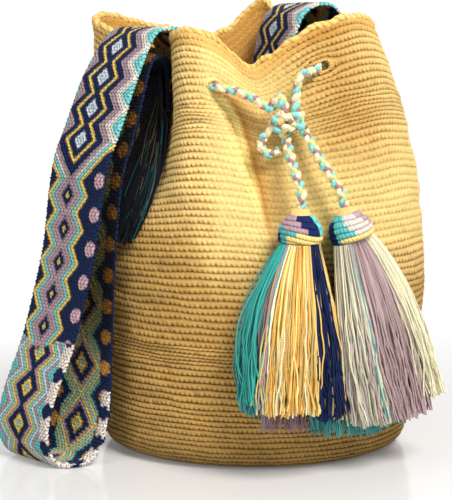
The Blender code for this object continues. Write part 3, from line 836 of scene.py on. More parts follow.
def wall_grid(steps):
    """The outer face's points, and the height of the crochet and the angle at each."""
    column = np.arange(STITCHES * PER_STITCH)
    phase = (column % PER_STITCH) / PER_STITCH
    rng = np.random.default_rng(7)
    lines, heights, turns = [], [], []
    jitter = {}
    for s, number, v, kind in steps:
        row = int(number)
        if row not in jitter:
            jitter[row] = np.repeat(rng.normal(0, 1, (STITCHES, 2)), PER_STITCH, axis=0)
        angle = 2 * math.pi * (column / len(column) + STITCH_LEAN * number / STITCHES)
        angle = angle + jitter[row][:, 0] * 0.0016
        wobble = waves(11, 9, 2, 14, angle, number * 0.22) * 0.00045
        wobble = wobble + waves(100 + row, 5, 9, 40, angle) * 0.00016
        reach = s + wobble * min(1.0, s / 0.02) * (1.0 if row < FIRST_TOP_ROW else 0.3)
        if s < CORNER_ARC:
            turned = np.clip(reach / BASE_CORNER, 0.0, math.pi / 2)
            points = wall_point(angle, 0.0 * angle, -BASE_CORNER * (1.0 - np.sin(turned)))
            points[:, 2] = BASE_CORNER * (1.0 - np.cos(turned))
        else:
            level = np.clip((reach - CORNER_ARC) / WALL_HEIGHT, 0.0, 1.0)
            points = wall_point(angle, level, 0.0006 * waves(21, 12, 3, 12, angle, number * 0.16))
        lines.append(points)
        heights.append(stitch_height(v, kind, phase) + jitter[row][:, 1] * 0.1)
        turns.append(angle)
    grid, high = np.array(lines), np.array(heights)
    lift = ((high + 0.3) / 1000.0)[..., None] * smooth(grid[..., 2:3] / 0.006)
    return grid + normals(grid) * lift, high, np.array(turns)


def gap_shade(at, z):
    """Painted shade in the gaps: dark on the left, in the right's gathers and low down, light in
    front.
    """
    # The light grazes the left and the gathers, and less of it falls low down
    left = smooth((-14.0 - at) / 13.0)
    right = smooth((at - 22.0) / 14.0)
    gathers = right * smooth((z - 0.225) / 0.035) * (1.0 - 0.5 * smooth((at - 52.0) / 12.0))
    low = smooth((0.176 - z) / 0.035)
    depth = 0.45 + 0.2 * right + 0.9 * np.maximum(np.maximum(left, gathers), low)
    more = np.maximum(np.maximum(left, 0.4 * gathers), low) * smooth((z - 0.05) / 0.05)
    return (depth * (1.0 - 0.25 * smooth((0.045 - z) / 0.03)) + 0.55 * more)[..., None]


def wall_colours(steps, z, high, angles):
    """The outer face's colours, yarn over painted shade in the grooves, and in the fourth the gaps'
    shade.
    """
    at = turn_between(angles, 0.0)
    kinds = np.array([kind for _, _, _, kind in steps])[:, None, None]
    rope = (kinds == "rope") & (z[..., None] < LOW_ROPES_TOP)
    depth = gap_shade(at, z) * np.where(rope, 0.7, 1.0)
    # Painted shade: the colour goes to the groove's where the crochet lies low
    tone = 1.0 - (1.0 - smooth((high + 0.62) / 0.8)[..., None]) * np.minimum(depth, 1.5)
    tone = np.maximum(tone, 0.0)
    around = np.arange(z.shape[1]) / z.shape[1] * 2 * math.pi
    wash = waves(31, 14, 2, 9, np.broadcast_to(around, high.shape),
                 np.arange(len(z))[:, None] * 0.01)[..., None]
    # Painted shade: darker towards the base, where less light falls, and darker higher up on the
    # left, which faces away from the key lamp
    bright = smooth((z - 0.114 - 0.042 * smooth((-17.0 - at) / 16.0)) / 0.058)[..., None]
    colour = mixed(mixed(GROOVE_SHADE_LOW, GROOVE_SHADE, bright), mixed(YELLOW_SHADE_LOW, YELLOW, bright), tone)
    # Painted highlight: the low rope rows are 14% lighter on their crests
    colour = colour * (1.0 + 0.035 * wash) * np.where(rope & (high[..., None] > -0.2), 1.14, 1.0)
    colour = np.minimum(colour * shading(angles, z), 0.97)
    # Painted shade: the edging rows at the rim go most of the way to the shaded yarn's orange
    colour = colour * (1 - (kinds == "edging") * 0.6 * (1 - SHADE_ORANGE / YELLOW))
    return np.concatenate([colour, depth], axis=2)


def body():
    """The outer face in three pieces, and the parts that join it."""
    steps = row_steps()
    grid, high, angles = wall_grid(steps)
    colour = wall_colours(steps, grid[..., 2], high, angles)
    grid = opened(grid)
    rows = np.array([number for _, number, _, _ in steps])
    mat = crochet_material()
    cuts = [0, len(grid) // 3, 2 * len(grid) // 3, len(grid) - 1]
    for name, first, last in zip(("low", "middle", "high"), cuts, cuts[1:]):
        points, faces = holed(grid[first:last + 1])
        columns = grid.shape[1]
        right = faces[:, :1] % columns + np.array([0, 1, 1, 0])
        uv = np.stack([right / PER_STITCH, rows[first + faces // columns]], axis=-1)
        crochet_piece("crochet_wall_" + name, points, faces, mat,
                      colour[first:last + 1].reshape(-1, 4), uv.reshape(-1, 2))
    base(grid[0, ::PER_STITCH], mat)
    inner_wall(mat)
    rim_edging(mat)
    eyelet_rims(mat)


def base(outline, mat):
    """The round underside, worked in rings from the middle."""
    rings = []
    last = 48
    for i in range(last + 1):
        ring = outline * max(i / last, 0.01)
        ring[:, 2] = 0.0006 * (i % 2) if i < last else outline[:, 2]
        rings.append(ring)
    # Painted shade: the grooves between the rings are darker
    tone = np.repeat([0.25 if i % 2 else 0.9 for i in range(last + 1)], len(outline))[:, None]
    crochet_piece("crochet_base", np.array(rings).reshape(-1, 3),
                  grid_faces(last + 1, len(outline))[:, ::-1], mat, mixed(GROOVE_SHADE, YELLOW, tone))


def inner_wall(mat):
    """The wrong side of the crochet: lines of small bumps, down to the base."""
    columns = 264
    rows = 57
    column = np.arange(columns)
    lines, heights = [], []
    for i in range(rows * 2 + 1):
        level = 1.0 - i / (rows * 2)
        angle = 2 * math.pi * (column / columns - 0.5 * level * rows / STITCHES)
        lines.append(wall_point(angle, level, -WALL + 0.0003))
        bump = 0.45 + 0.5 * np.cos(math.pi * (column + i // 2)) if i % 2 else -0.5
        heights.append(bump + 0.12 * waves(300 + i, 4, 40, 160, angle))
    grid, high = np.array(lines), np.array(heights)
    grid = opened(grid + normals(grid) * (high / 1000.0)[..., None])
    angle = 2 * math.pi * (column / columns)
    radius = BASE_CORNER - WALL
    corner = []
    for t in np.linspace(1.0, 0.0, 9)[1:]:
        points = wall_point(angle, 0.0 * angle, -WALL - radius * (1.0 - math.sin(t * math.pi / 2)))
        points[:, 2] = BASE_CORNER - radius * math.cos(t * math.pi / 2)
        corner.append(points)
    low = corner[-1]
    for share in (0.8, 0.6, 0.4, 0.2, 0.01):
        ring = low * share
        ring[:, 2] = WALL
        corner.append(ring)
    points, faces = holed(np.concatenate([grid, np.array(corner)]))
    high = np.concatenate([high, np.zeros((len(corner), columns))])
    # Painted shade: the inside is in the shaded yarn's deeper orange, darker still between the
    # bumps
    tone = smooth((high + 0.6) / 1.3).reshape(-1, 1)
    crochet_piece("crochet_inside", points, faces, mat, mixed(GROOVE_SHADE, SHADE_ORANGE, tone))


def hoop(name, lines, tones, mat, low, high, node="bag_body"):
    """A bead of crochet that closes into a hoop, from the lines that run along it."""
    around, count = len(lines), len(lines[0])
    faces = grid_faces(count + 1, around)[:, [0, 3, 2, 1]] % (count * around)
    verts = np.array(lines).transpose(1, 0, 2).reshape(-1, 3)
    tone = np.array(tones).T.reshape(-1, 1)
    crochet_piece(name, verts, faces, mat, mixed(low, high, tone), node=node)


def rim_edging(mat):
    """Chain stitches laid along the top of the rim."""
    columns, around = STITCHES * 6, 14
    angle = 2 * math.pi * np.arange(columns) / columns
    mid = wall_point(angle, 1.0, RIM_BEAD - WALL / 2)
    mid[:, 2] += 0.0006 + 0.0009 * waves(5, 8, 10, 40, angle)
    out = outwards(angle, 1.0)
    lines, tones = [], []
    for k in range(around):
        turn = 2 * math.pi * k / around
        twist = STITCHES * 0.3 * angle + turn + 0.8 * waves(9, 6, 5, 30, angle)
        strand = np.abs(np.sin(twist))
        size = 1.0 + 0.13 * (strand - 0.6) + 0.09 * waves(51 + k, 5, 60, 190, angle)
        line = mid + out * ((WALL / 2 + 0.0006) * size * math.cos(turn))[:, None]
        line[:, 2] += 0.0027 * size * math.sin(turn)
        lines.append(line)
        tones.append(smooth(strand * 1.6 - 0.1))
    # Painted shade: darker between the strands, and the shaded yarn's orange on them
    hoop("crochet_edging", lines, tones, mat, GROOVE_SHADE * 0.85, SHADE_ORANGE * 0.5 + YELLOW * 0.5)


def eyelet_rims(mat):
    """The worked edge of each eyelet, joining the wall's two faces."""
    count, around = 96, 12
    radius = HOLE * 1.02
    for name, (degrees, level, length) in (("left", LEFT_EYELET), ("right", RIGHT_EYELET)):
        mid, out, along = eyelet_frame(degrees, level)
        up = np.cross(out, along)
        outline = []
        for k in range(count):
            turn = 2 * math.pi * k / count
            side = math.copysign(length / 2, math.cos(turn)) if length else 0.0
            outline.append(along * (side + radius * math.cos(turn)) + up * radius * math.sin(turn))
        outline = resampled(np.array(outline + outline[:1]), count + 1)[:-1]
        lines, tones = [], []
        for k in range(around):
            turn = 2 * math.pi * k / around
            bead = 1.0 + 0.16 * np.sin(np.arange(count) * 2 * math.pi / 6 + turn)
            deep = (WALL / 2 + 0.0007) * math.sin(turn) * bead
            wide = 0.0009 * math.cos(turn) * bead
            lines.append(mid + outline + unit(outline) * wide[:, None] + out * deep[:, None])
            # Painted shade: darker between the beads
            tones.append(smooth((bead - 0.84) / 0.25))
        hoop("eyelet_edge_" + name, lines, tones, mat, GROOVE_SHADE, YELLOW * 0.7 + SHADE_ORANGE * 0.3, None)


# The drawstring
BRAID_COLOURS = np.array([BRAID_TEAL, BRAID_CREAM, BRAID_MAUVE, BRAID_YELLOW])
BRAID_LAY = 0.0144
BRAID_STEP = 0.0008
BRAID_RADIUS = CORD * 0.42
LEFT_ARM_POINTS = 60
RIGHT_ARM_POINTS = 50
INSIDE_POINTS = 220
KNOT_BRAID_RADIUS = CORD * 0.5
# Turns of the plies in radians for each metre of yarn
YARN_TWIST = 3600.0
FRINGE_TWIST = 3000.0


def braid_piece(name, path, mat, node, step=BRAID_STEP, sides=8, radius=BRAID_RADIUS):
    """Four yarn strands plaited round a path."""
    path = resampled(path, int(lengths(path)[-1] / step))
    side, other = frames(path)
    along = lengths(path)
    lines = []
    for k in range(4):
        way = 1.0 if k < 2 else -1.0
        turn = way * 2 * math.pi * along / BRAID_LAY
        turn = (turn + (k % 2) * math.pi + (0.0 if k < 2 else math.pi / 2))[:, None]
        weave = way * (0.28 + 0.72 * np.cos(4 * math.pi * (along / BRAID_LAY - 0.125)))
        r = (0.36 * radius + 0.3 * radius * weave)[:, None]
        lines.append(path + (side * np.cos(turn) + other * np.sin(turn)) * r)
    return yarns(name, lines, radius * 0.6, BRAID_COLOURS, sides, YARN_TWIST, mat,
                 "braided_cord", node, caps=True)


def hang_cord(name, path, mat, step=BRAID_STEP, sides=8):
    """A stretch of the drawstring."""
    piece = braid_piece("braid_" + name, path, mat, "drawstring_" + name, step, sides)


def knot_centre():
    """The knot's middle, just in front of the wall."""
    return vec(KNOT_X, front_y(KNOT_X, KNOT_Z) - GAP - KNOT_HALF[1], KNOT_Z)


def drawstring_route():
    """From the knot's left side in at the left eyelet, round the inside, out to the knot."""
    inside = -WALL - GAP - CORD / 2 - CORD_SLACK
    knot = knot_centre()
    left, left_out, left_along = eyelet_frame(*LEFT_EYELET[:2])
    right, right_out, right_along = eyelet_frame(*RIGHT_EYELET[:2])
    right = right - right_along * RIGHT_EYELET[2] * 0.3
    lead = WALL / 2 + CORD / 2
    stops = (-32, -48, -62, -76, -92, -108, -126, -145, -164, -182, -200, -218, -236, -254, -270,
             -286, -299)
    return [
        knot + vec(-KNOT_HALF[0] - GAP, -0.001, 0.004),
        knot + vec(-KNOT_HALF[0] - 0.008, -0.001, 0.009),
        left + left_out * (lead + 0.006) + left_along * 0.02,
        left + left_out * (lead + 0.0038) + left_along * 0.007,
        left + left_out * lead * 0.75 + left_along * 0.0005,
        left,
        left - left_out * lead * 0.75 - left_along * 0.0005,
        left - left_out * (lead + 0.0038) - left_along * 0.007,
        *[wall_point(math.radians(degrees), CORD_LEVEL, inside) for degrees in stops],
        right - right_out * lead + right_along * 0.004,
        right + right_out * 0.001,
        right + right_out * (lead + 0.002) - right_along * 0.006,
        knot + vec(0.009, -0.002, KNOT_HALF[2] + 0.012),
        knot + vec(0.006, -0.001, KNOT_HALF[2] - 0.0008),
    ]


def tassel_axis(x, low_x):
    """The top of a tassel's head, and the way it hangs."""
    z = HEAD_TOP_Z
    top = vec(x, front_y(x, z - HEAD_LENGTH) - GAP - HEAD_RADIUS * 1.04, z)
    down = unit(vec(low_x - x, 0, -(HEAD_LENGTH + LEFT_SKIRT_LENGTH)))
    return top, down


CORD_IN_HEAD = 0.042


def tail_route(x, low_x, leave):
    """Each tassel's cord from the knot to its head, and on through the head's middle."""
    top, down = tassel_axis(x, low_x)
    end = top - down * (2 * GAP)
    start = knot_centre() + leave
    above = end - down * 0.01
    middle = start * 0.55 + above * 0.45 + vec(-0.0005, -0.002, 0.0)
    return [start, middle, above, end, end + down * CORD_IN_HEAD / 2, end + down * CORD_IN_HEAD]


# The bight's way in millimetres from its start, and the start from the knot's centre
BIGHT_START = vec(-0.0096, -0.001, -0.01)
BIGHT = ((0.0, 0.0, 0.0), (-6.0, -1.5, -4.0), (-9.0, -2.0, -11.0), (-4.0, -2.0, -17.0),
         (4.0, -1.0, -15.0))
# The overhand knot in millimetres right, back and up of its centre: both ends come down
# together, and the third stretch wraps round them twice
KNOT_TABLES = {
    "left": ((-12.0, -1.0, 4.0), (-8.6, -3.6, 9.0), (-5.6, -4.5, 12.0), (-3.4, -5.5, 8.5),
             (-3.6, -6.0, 3.5), (-4.6, -4.0, -1.0), (-3.5, -1.0, -7.0), (-1.0, -1.0, -15.5)),
    "right": ((6.0, -1.0, 14.2), (5.4, -3.0, 8.5), (5.2, -4.5, 4.0), (6.6, -4.0, -1.0),
              (8.8, -2.5, -6.0), (11.0, -1.0, -9.9)),
    "wrap": ((8.6, 1.5, 0.0), (6.6, -5.0, -1.6), (0.5, -8.0, -1.6), (-5.8, -6.5, -3.2),
             (-9.4, 0.0, -4.6), (-5.0, 4.2, -6.0), (2.0, 4.4, -6.6), (6.4, 0.0, -7.0),
             (4.4, -5.6, -7.6), (-0.6, -7.4, -8.0), (-5.6, -4.4, -9.0), (-9.6, -1.0, -10.0)),
}


def route_from(start, table):
    return fine_route([start + vec(*p) / 1000.0 for p in table])


def drawstring(mat):
    route = fine_route(drawstring_route())
    total = lengths(route)[-1]
    knot = knot_centre()
    tied = [braid_piece("braid_knot_" + name, route_from(knot, table), mat, "drawstring_knot",
                        radius=KNOT_BRAID_RADIUS) for name, table in KNOT_TABLES.items()]
    bight = braid_piece("braid_bight", route_from(knot + BIGHT_START, BIGHT), mat,
                        "drawstring_bight")
    left = resampled(route, LEFT_ARM_POINTS, 0.0, LEFT_ARM)[::-1]
    inside = resampled(route, INSIDE_POINTS, LEFT_ARM, total - RIGHT_ARM)
    right = resampled(route, RIGHT_ARM_POINTS, total - RIGHT_ARM, total)
    hang_cord("left_arm", left, mat)
    hang_cord("inside", inside, mat, step=0.0014, sides=6)
    hang_cord("right_arm", right, mat)


# Tassels
# The heads' outline: millimetres down from the top, and the radius there
HEAD_SHAPE = ((0.0, 2.6), (1.2, 4.9), (3.0, 6.4), (4.6, 7.6), (6.6, 9.4), (9.4, 11.9),
              (12.0, 13.6), (14.6, 14.4), (18.5, 14.8), (21.5, 14.7), (23.5, 13.9))
HEAD_CAP = 0.0046
HEAD_WRAP = 0.0038
HEAD_COLUMNS = 128
HEAD_RINGS = 92
CAP_RIBS = 22
WRAP_TWISTS = 34
WRAP_PLIES = 46


def head_ring(depth, turn, facing, bands, slant):
    """The relief and tint of a ring of the head, and its place across the wraps."""
    if depth < HEAD_CAP:
        rib = np.sin(turn * CAP_RIBS)
        # Painted shade: the cap is darker between its ribs
        return 0.00022 * rib, BRAID_YELLOW * (0.86 + 0.14 * rib)[:, None], 0.0 * turn
    tilt = slant * smooth((depth - HEAD_CAP) / 0.015)
    wrap = (depth - HEAD_CAP) / HEAD_WRAP + tilt * np.sin(np.radians(facing))
    wrap = np.maximum(wrap, 0.0) + 0.06 * np.cos(turn * 3)
    across = wrap - np.floor(wrap)
    round_off = np.sqrt(np.maximum(0.0, 1.0 - (2 * across - 1) ** 2))
    twist = turn * WRAP_TWISTS + np.floor(wrap) * 2.1 + across * 4
    relief = 0.0013 * round_off - 0.0006 + 0.00038 * np.sin(twist)
    # Painted shade: each wrap is darker towards its edges, where it meets the next
    tint = bands(np.floor(wrap), facing) * (0.42 + 0.58 * round_off ** 0.6)[:, None]
    return relief, tint, across


def head(name, x, low_x, mat, node, bands, slant):
    """The turned head: a small yellow cap, wraps of coloured yarn and a slanting yellow foot."""
    top, down = tassel_axis(x, low_x)
    side = unit(vec(-down[2], 0, down[0]))
    turn = 2 * math.pi * np.arange(HEAD_COLUMNS) / HEAD_COLUMNS
    facing = -turn_between(turn, 90.0)
    around = side * np.cos(turn)[:, None] + vec(0, -1, 0) * np.sin(turn)[:, None]
    deep, wide = np.array(HEAD_SHAPE).T / 1000.0
    rings, colours, uvs = [], [], []
    for i in range(HEAD_RINGS):
        depth = HEAD_LENGTH * i / (HEAD_RINGS - 1)
        relief, tint, across = head_ring(depth, turn, facing, bands, slant)
        radius = (float(np.interp(depth, deep, wide)) + relief)[:, None]
        rings.append(top + down * depth + around * radius)
        colours.append(tint)
        uvs.append(np.stack([across / 2, turn * WRAP_PLIES], axis=1))
    for share in (0.6, 0.2):
        rings.append(top + down * HEAD_LENGTH + around * HEAD_RADIUS * share)
        colours.append(tint)
        uvs.append(uvs[-1])
    return add_piece(name, np.array(rings).reshape(-1, 3), grid_faces(len(rings), HEAD_COLUMNS),
                     mat, "tassel_wraps", np.array(colours).reshape(-1, 3),
                     np.array(uvs).reshape(-1, 2), node)


def coloured(colour, *rules):
    """Colours with each rule's own where its test holds, the last one on top."""
    for test, tint in rules:
        colour = np.where(np.asarray(test)[..., None], tint, colour)
    return colour


def left_bands(wrap, facing):
    """Wraps of the left head by the angle they face: mauve, navy and teal above the foot."""
    row = np.clip(wrap, 0, 3)
    edge = np.array([-22.0, -2.0, 17.0, 22.0])[row.astype(int)]
    return coloured(
        NAVY,
        (facing < edge, MAUVE),
        (facing > 48.0 + 6.0 * row, TEAL * 0.9),
        ((facing < -62.0) & (wrap == 2), TEAL * 0.75),
        ((facing < 24.0) & (wrap >= 3), TEAL * 0.62),
        ((facing < -66.0) & (wrap >= 4), NAVY),
        ((wrap >= 4) & (facing > -40.0) | (wrap == 3) & (facing > -14.0), TASSEL_YELLOW * 0.86))


def right_bands(wrap, facing):
    """Wraps of the right head: teal, cream and mauve above a yellow foot."""
    row = np.clip(wrap, 0, 3)
    edge = np.array([-24.0, -18.0, -6.0, 8.0])[row.astype(int)]
    return coloured(
        CREAM * 0.86,
        (facing < edge, TEAL * 0.7),
        ((facing > 30.0 + 16.0 * row) & (wrap < 3), MAUVE * 1.1),
        ((facing < -62.0 + 5.0 * row) & (wrap >= 1), NAVY),
        ((wrap >= 4) & (facing > -34.0), TASSEL_YELLOW * 0.86))


def skirt_place(x, low_x, half_width, long, t, spread, turn, wander):
    """A place in the skirt: t down it, spread out of its middle, turned towards a side."""
    top, down = tassel_axis(x, low_x)
    neck = HEAD_RADIUS * 0.9
    middle = top + down * (HEAD_LENGTH + 2 * GAP + long * t)[..., None]
    deep = neck + (SKIRT_HALF_DEPTH - neck) * smooth(2 * t)
    ahead = np.maximum(0.0, front_y(x + 0 * t, middle[..., 2]) - deep - top[1])
    # The side towards the other tassel widens more slowly
    inner = 1.0 if x < (LEFT_HEAD_X + RIGHT_HEAD_X) / 2 else -1.0
    power = np.where(inner * np.cos(turn) > 0.0, 1.4, 3.2)
    wide = neck + (half_width - neck) * (1.0 - (1.0 - np.clip(t, 0, 1)) ** power)
    across = wide * spread * np.cos(turn) + wander
    px = middle[..., 0] + across
    pz = middle[..., 2] + across * unit(vec(-down[2], 0, down[0]))[2] * (1.0 - smooth(2.0 * t))
    back = np.minimum(front_y(px, pz), front_y(middle[..., 0], pz) + SKIRT_HALF_DEPTH)
    py = back - GAP - SKIRT_SLACK - deep * (1.0 + spread * np.sin(turn))
    return np.stack([px, py - ahead * (1.0 - smooth(2.5 * t)), pz], axis=-1)


SKIRT_YARNS = 820
SKIRT_POINTS = 17
SKIRT_YARN_RADIUS = 0.00058
BEHIND_SHARE = 0.26
LOOSE_SHARE = 0.07
CLUMPS = 24


def skirt(name, x, low_x, half_width, long, mat, slot, node, seed, bundle):
    """Some hundreds of cut yarns hung from the head, each bundle in its own colour."""
    rng = np.random.default_rng(seed)
    count = SKIRT_YARNS
    turn = rng.uniform(-0.1 * math.pi, 1.1 * math.pi, count)
    behind = rng.random(count) < BEHIND_SHARE
    turn = np.where(behind, rng.uniform(1.0 * math.pi, 2.0 * math.pi, count), turn)
    spread = np.sqrt(rng.uniform(0.2, 1.0, count))
    share = np.cos(turn) * spread
    clump = np.floor((share + 1.0) * 11.0).astype(int)
    together = rng.uniform(-1, 1, (CLUMPS, 4))[np.clip(clump, 0, CLUMPS - 1)]
    colour, length, bow = bundle(share, turn, rng, count)
    t = np.linspace(0.0, 1.0, SKIRT_POINTS)[None] * length[:, None]
    slow = rng.uniform(-1, 1, (count, 4)) * 0.55 + together * 0.65
    grow = smooth(t * 1.2)
    wander = 0.005 * slow[:, :1] * np.sin(t * 4 + slow[:, 1:2] * 4) * grow
    wander = wander + 0.003 * slow[:, 3:] * smooth(t * 2.5 - 1.5)
    kinks = rng.uniform(0, 6, (count, 2))
    wander = wander + 0.0008 * np.sin(t * 26 * (0.7 + kinks[:, :1] / 10) + kinks[:, 1:]) * grow
    wander = wander + bow[:, None] * np.sin(math.pi * np.clip(t, 0, 1)) ** 1.2
    loose = (rng.random(count) < LOOSE_SHARE)[:, None] * rng.normal(0, 0.0035, (count, 1))
    wander = wander + loose * np.sin(t * 3.2) * grow
    spread = np.clip(spread[:, None] + 0.07 * slow[:, 2:3] * np.sin(t * 7 + slow[:, :1] * 9), 0, 1)
    turns = turn[:, None] + 0.15 * slow[:, 1:2] * np.sin(t * 4 + slow[:, 2:3] * 6) * grow
    place = skirt_place(x, low_x, half_width, long, t, spread, turns, wander)
    radius = SKIRT_YARN_RADIUS * rng.uniform(0.8, 1.2, count)[:, None] * (1.0 - 0.2 * (t > 0.98))
    return yarns(name, place, radius, colour, 4, YARN_TWIST, mat, slot, node)


# The yarns of each skirt from its left to its right: up to which place, how long, and the
# colours with the running share of the yarns that have them
LEFT_YARNS = (
    (-0.7, 0.85, ((0.75, TASSEL_TEAL), (1.0, TASSEL_TEAL * 1.35))),
    (-0.58, 0.875, ((0.2, TEAL * 0.8), (0.4, CREAM), (0.6, PALE), (0.8, MAUVE),
                    (1.0, TASSEL_YELLOW))),
    (0.44, 0.9, ((0.52, TASSEL_YELLOW), (0.9, TASSEL_ORANGE), (1.0, PALE))),
    (0.9, 0.945, ((0.95, NAVY), (1.0, TASSEL_YELLOW))),
    (9.0, 0.965, ((0.7, TASSEL_YELLOW), (1.0, TASSEL_ORANGE))),
)
RIGHT_YARNS = (
    (-0.36, 0.975, ((0.6, PALE * 0.92), (1.0, CREAM * 0.82))),
    (-0.2, 0.985, ((0.25, TEAL * 0.75), (0.5, PALE), (0.75, TASSEL_MAUVE), (1.0, TASSEL_TEAL))),
    (0.62, 0.985, ((0.7, TASSEL_MAUVE * 0.98), (1.0, TASSEL_MAUVE * 1.15))),
    (9.0, 0.86, ((1.0, PALE),)),
)


def dealt(groups, share, rng, count, uneven):
    """Each yarn's place, pick, colour and length, and the unevenness of its length."""
    pick = rng.random(count)
    key = share + rng.normal(0, 0.03, count)
    jitter = rng.normal(0, uneven, count)
    colour, length = np.empty((count, 3)), np.empty(count)
    for limit, long, tints in reversed(groups):
        here = key < limit
        length[here] = long
        for running, tint in reversed(tints):
            colour[here & (pick < running)] = tint
    return key, pick, colour, length, jitter


def left_bundle(share, turn, rng, count):
    """Colours, lengths and outward bow of the left skirt's yarns, by their place across it."""
    key, pick, colour, length, jitter = dealt(LEFT_YARNS, share, rng, count, 0.012)
    bow = np.where(key < -0.7, -0.0042 * (0.4 + pick) - 0.005 * (pick > 0.92), 0.0)
    length = length + jitter - 0.025 * (pick[np.arange(count) * 7 % count] < 0.1)
    low = np.sin(turn) < -0.02
    hidden = np.where(((share > -0.55) & (share < 0.3))[:, None], MAUVE, TEAL * 0.55)
    colour[low] = hidden[low]
    length[low] = (1.04 + 0.03 * share - 0.1 * (share < -0.55) + jitter * 1.5)[low]
    return colour * (1.0 + rng.normal(0, 0.15, (count, 1)).clip(-0.4, 0.25)), length, bow


def right_bundle(share, turn, rng, count):
    key, pick, colour, length, jitter = dealt(RIGHT_YARNS, share, rng, count, 0.011)
    mauve = np.maximum(0.0, key) * (key < 0.62)
    bow = 0.004 * mauve + np.where(key < 0.62, 0.0, 0.0045 * pick)
    length = length - 0.05 * mauve + jitter
    low = np.sin(turn) < -0.05
    colour[low] = np.where((share < 0.0)[:, None], TEAL * 0.62, TASSEL_MAUVE)[low]
    length[low] = (1.055 - 0.22 * np.maximum(0.0, share) + jitter)[low]
    return colour * (1.0 + rng.normal(0, 0.14, (count, 1)).clip(-0.4, 0.25)), length, bow


def tassels(cord_mat):
    wraps = yarn_material("wrapped_yarn", 0.28)
    yarn = yarn_material("tassel_yarn_loose", 0.22, 700.0)
    sides = (
        ("left", LEFT_HEAD_X, LEFT_SKIRT_X, LEFT_SKIRT_HALF_WIDTH, LEFT_SKIRT_LENGTH,
         left_bands, -0.85, left_bundle, "tassel_yarn", 41,
         vec(-0.001, -0.001, -KNOT_HALF[2] - 0.0012)),
        ("right", RIGHT_HEAD_X, RIGHT_SKIRT_X, RIGHT_SKIRT_HALF_WIDTH, RIGHT_SKIRT_LENGTH,
         right_bands, 0.2, right_bundle, "tassel_yarn_pale", 42,
         vec(0.011, -0.001, -KNOT_HALF[2] * 0.66)),
    )
    for name, x, low_x, half, long, bands, slant, bundle, slot, seed, leave in sides:
        top = head("wrapped_head_" + name, x, low_x, wraps, "tassel_head_" + name, bands, slant)
        hung = skirt("yarn_skirt_" + name, x, low_x, half, long, yarn, slot,
                     "tassel_skirt_" + name, seed, bundle)
        hang_cord("tail_" + name, fine_route(tail_route(x, low_x, leave)), cord_mat)


# The strap
def on_wall(degrees, level, off, side):
    """The line across the strap where it lies on the wall, from -1 to 1."""
    r = radius_at(math.radians(degrees), level)

    def point(j):
        return wall_point(math.radians(degrees) + side * j * STRAP_WIDTH / 2 / r, level, off)
    return point


def free(middle, turned):
    """The line across the strap where it hangs free, from -1 to 1."""
    turned = math.radians(turned)
    across = vec(-math.cos(turned), math.sin(turned), 0.0)

    def point(j):
        return middle + across * j * STRAP_WIDTH / 2
    return point


def strap_stations():
    """The lines across the strap, from its left end to its right."""
    face = GAP + SEWN_SLACK + ROW_DEPTH + STRAP_THICKNESS / 2
    left, right = STRAP_LEFT_ANGLE, STRAP_RIGHT_ANGLE
    sewn = SEWN_LENGTH / WALL_HEIGHT
    rim = wall_point(math.radians(left), 1.0, RIM_BEAD - WALL / 2)
    top = float(rim[2] + WALL / 2)
    lying = top + STRAP_LIFT + GAP + STRAP_THICKNESS / 2
    stations = [on_wall(left, SEWN_TOP_LEVEL - sewn * k / 2, face, -1) for k in (2, 1, 0)]
    for degrees, share, out, turned in STRAP_DOWN + STRAP_UP:
        stations.append(free(beside(degrees, top * share, STRAP_WIDTH * out), turned))
    for out, lift, turned in STRAP_CREST:
        high = lying + STRAP_THICKNESS * lift
        stations.append(free(beside(CREST_ANGLE, high, STRAP_WIDTH * out), turned))
    for x, y, share, turned in STRAP_SLING:
        middle = vec(x * MOUTH_HALF_WIDTH, y * MOUTH_HALF_DEPTH, top * share)
        stations.append(free(middle, turned))
    stations += [on_wall(right, SEWN_TOP_LEVEL - sewn * k / 2, face, 1) for k in (0, 1, 2)]
    return stations


KNOT_SIZE = 0.0022
KNOTS_ACROSS = 26


def strap_surface():
    """The strap's middle sheet, rows along it and columns across it, with their places."""
    stations = strap_stations()
    sides = np.linspace(-1.0, 1.0, 5)
    fine = np.array([fine_route([station(j) for station in stations]) for j in sides])
    along = lengths(fine[2])
    total = along[-1]
    rows = 2 * int(total / KNOT_SIZE) + 1
    at = np.linspace(0, total, rows)
    sheet = np.array([[np.interp(at, along, col[:, k]) for k in range(3)] for col in fine])
    sheet = sheet.transpose(2, 0, 1)
    # Gently smoothed along, so that no station shows as a kink
    kernel = np.hanning(19)
    kernel /= kernel.sum()
    padded = np.concatenate([np.repeat(sheet[:1], 9, 0), sheet, np.repeat(sheet[-1:], 9, 0)])
    soft = np.zeros_like(sheet)
    for k, w in enumerate(kernel):
        soft += padded[k:k + rows] * w
    edge = smooth(np.minimum(np.arange(rows), np.arange(rows)[::-1]) / 24.0)[:, None, None]
    sheet = sheet * (1 - edge) + soft * edge
    return sheet, at, total, sides


def zigzag(at, period, start=0.0):
    """1 between two diamonds and 0 in the middle of one."""
    return np.abs(2.0 * (((at - start) / period + 0.5) % 1.0) - 1.0)


def banded(q, bands):
    """Colours by the first limit that q is under."""
    colour = np.broadcast_to(bands[-1][1], q.shape + (3,)).copy()
    for limit, tint in reversed(bands[:-1]):
        colour = np.where((q < limit)[..., None], tint, colour)
    return colour


def ovals(x, along, middle, wide, tall):
    """Whether a place is in one of a row of ovals; along is metres from the nearest middle."""
    return np.hypot((x - middle) / wide, along / tall) < 1.0


def repeats(at, period, start):
    """How far, in periods, a place is from the nearest one between two diamonds."""
    return ((at - start) / period) % 1.0 - 0.5


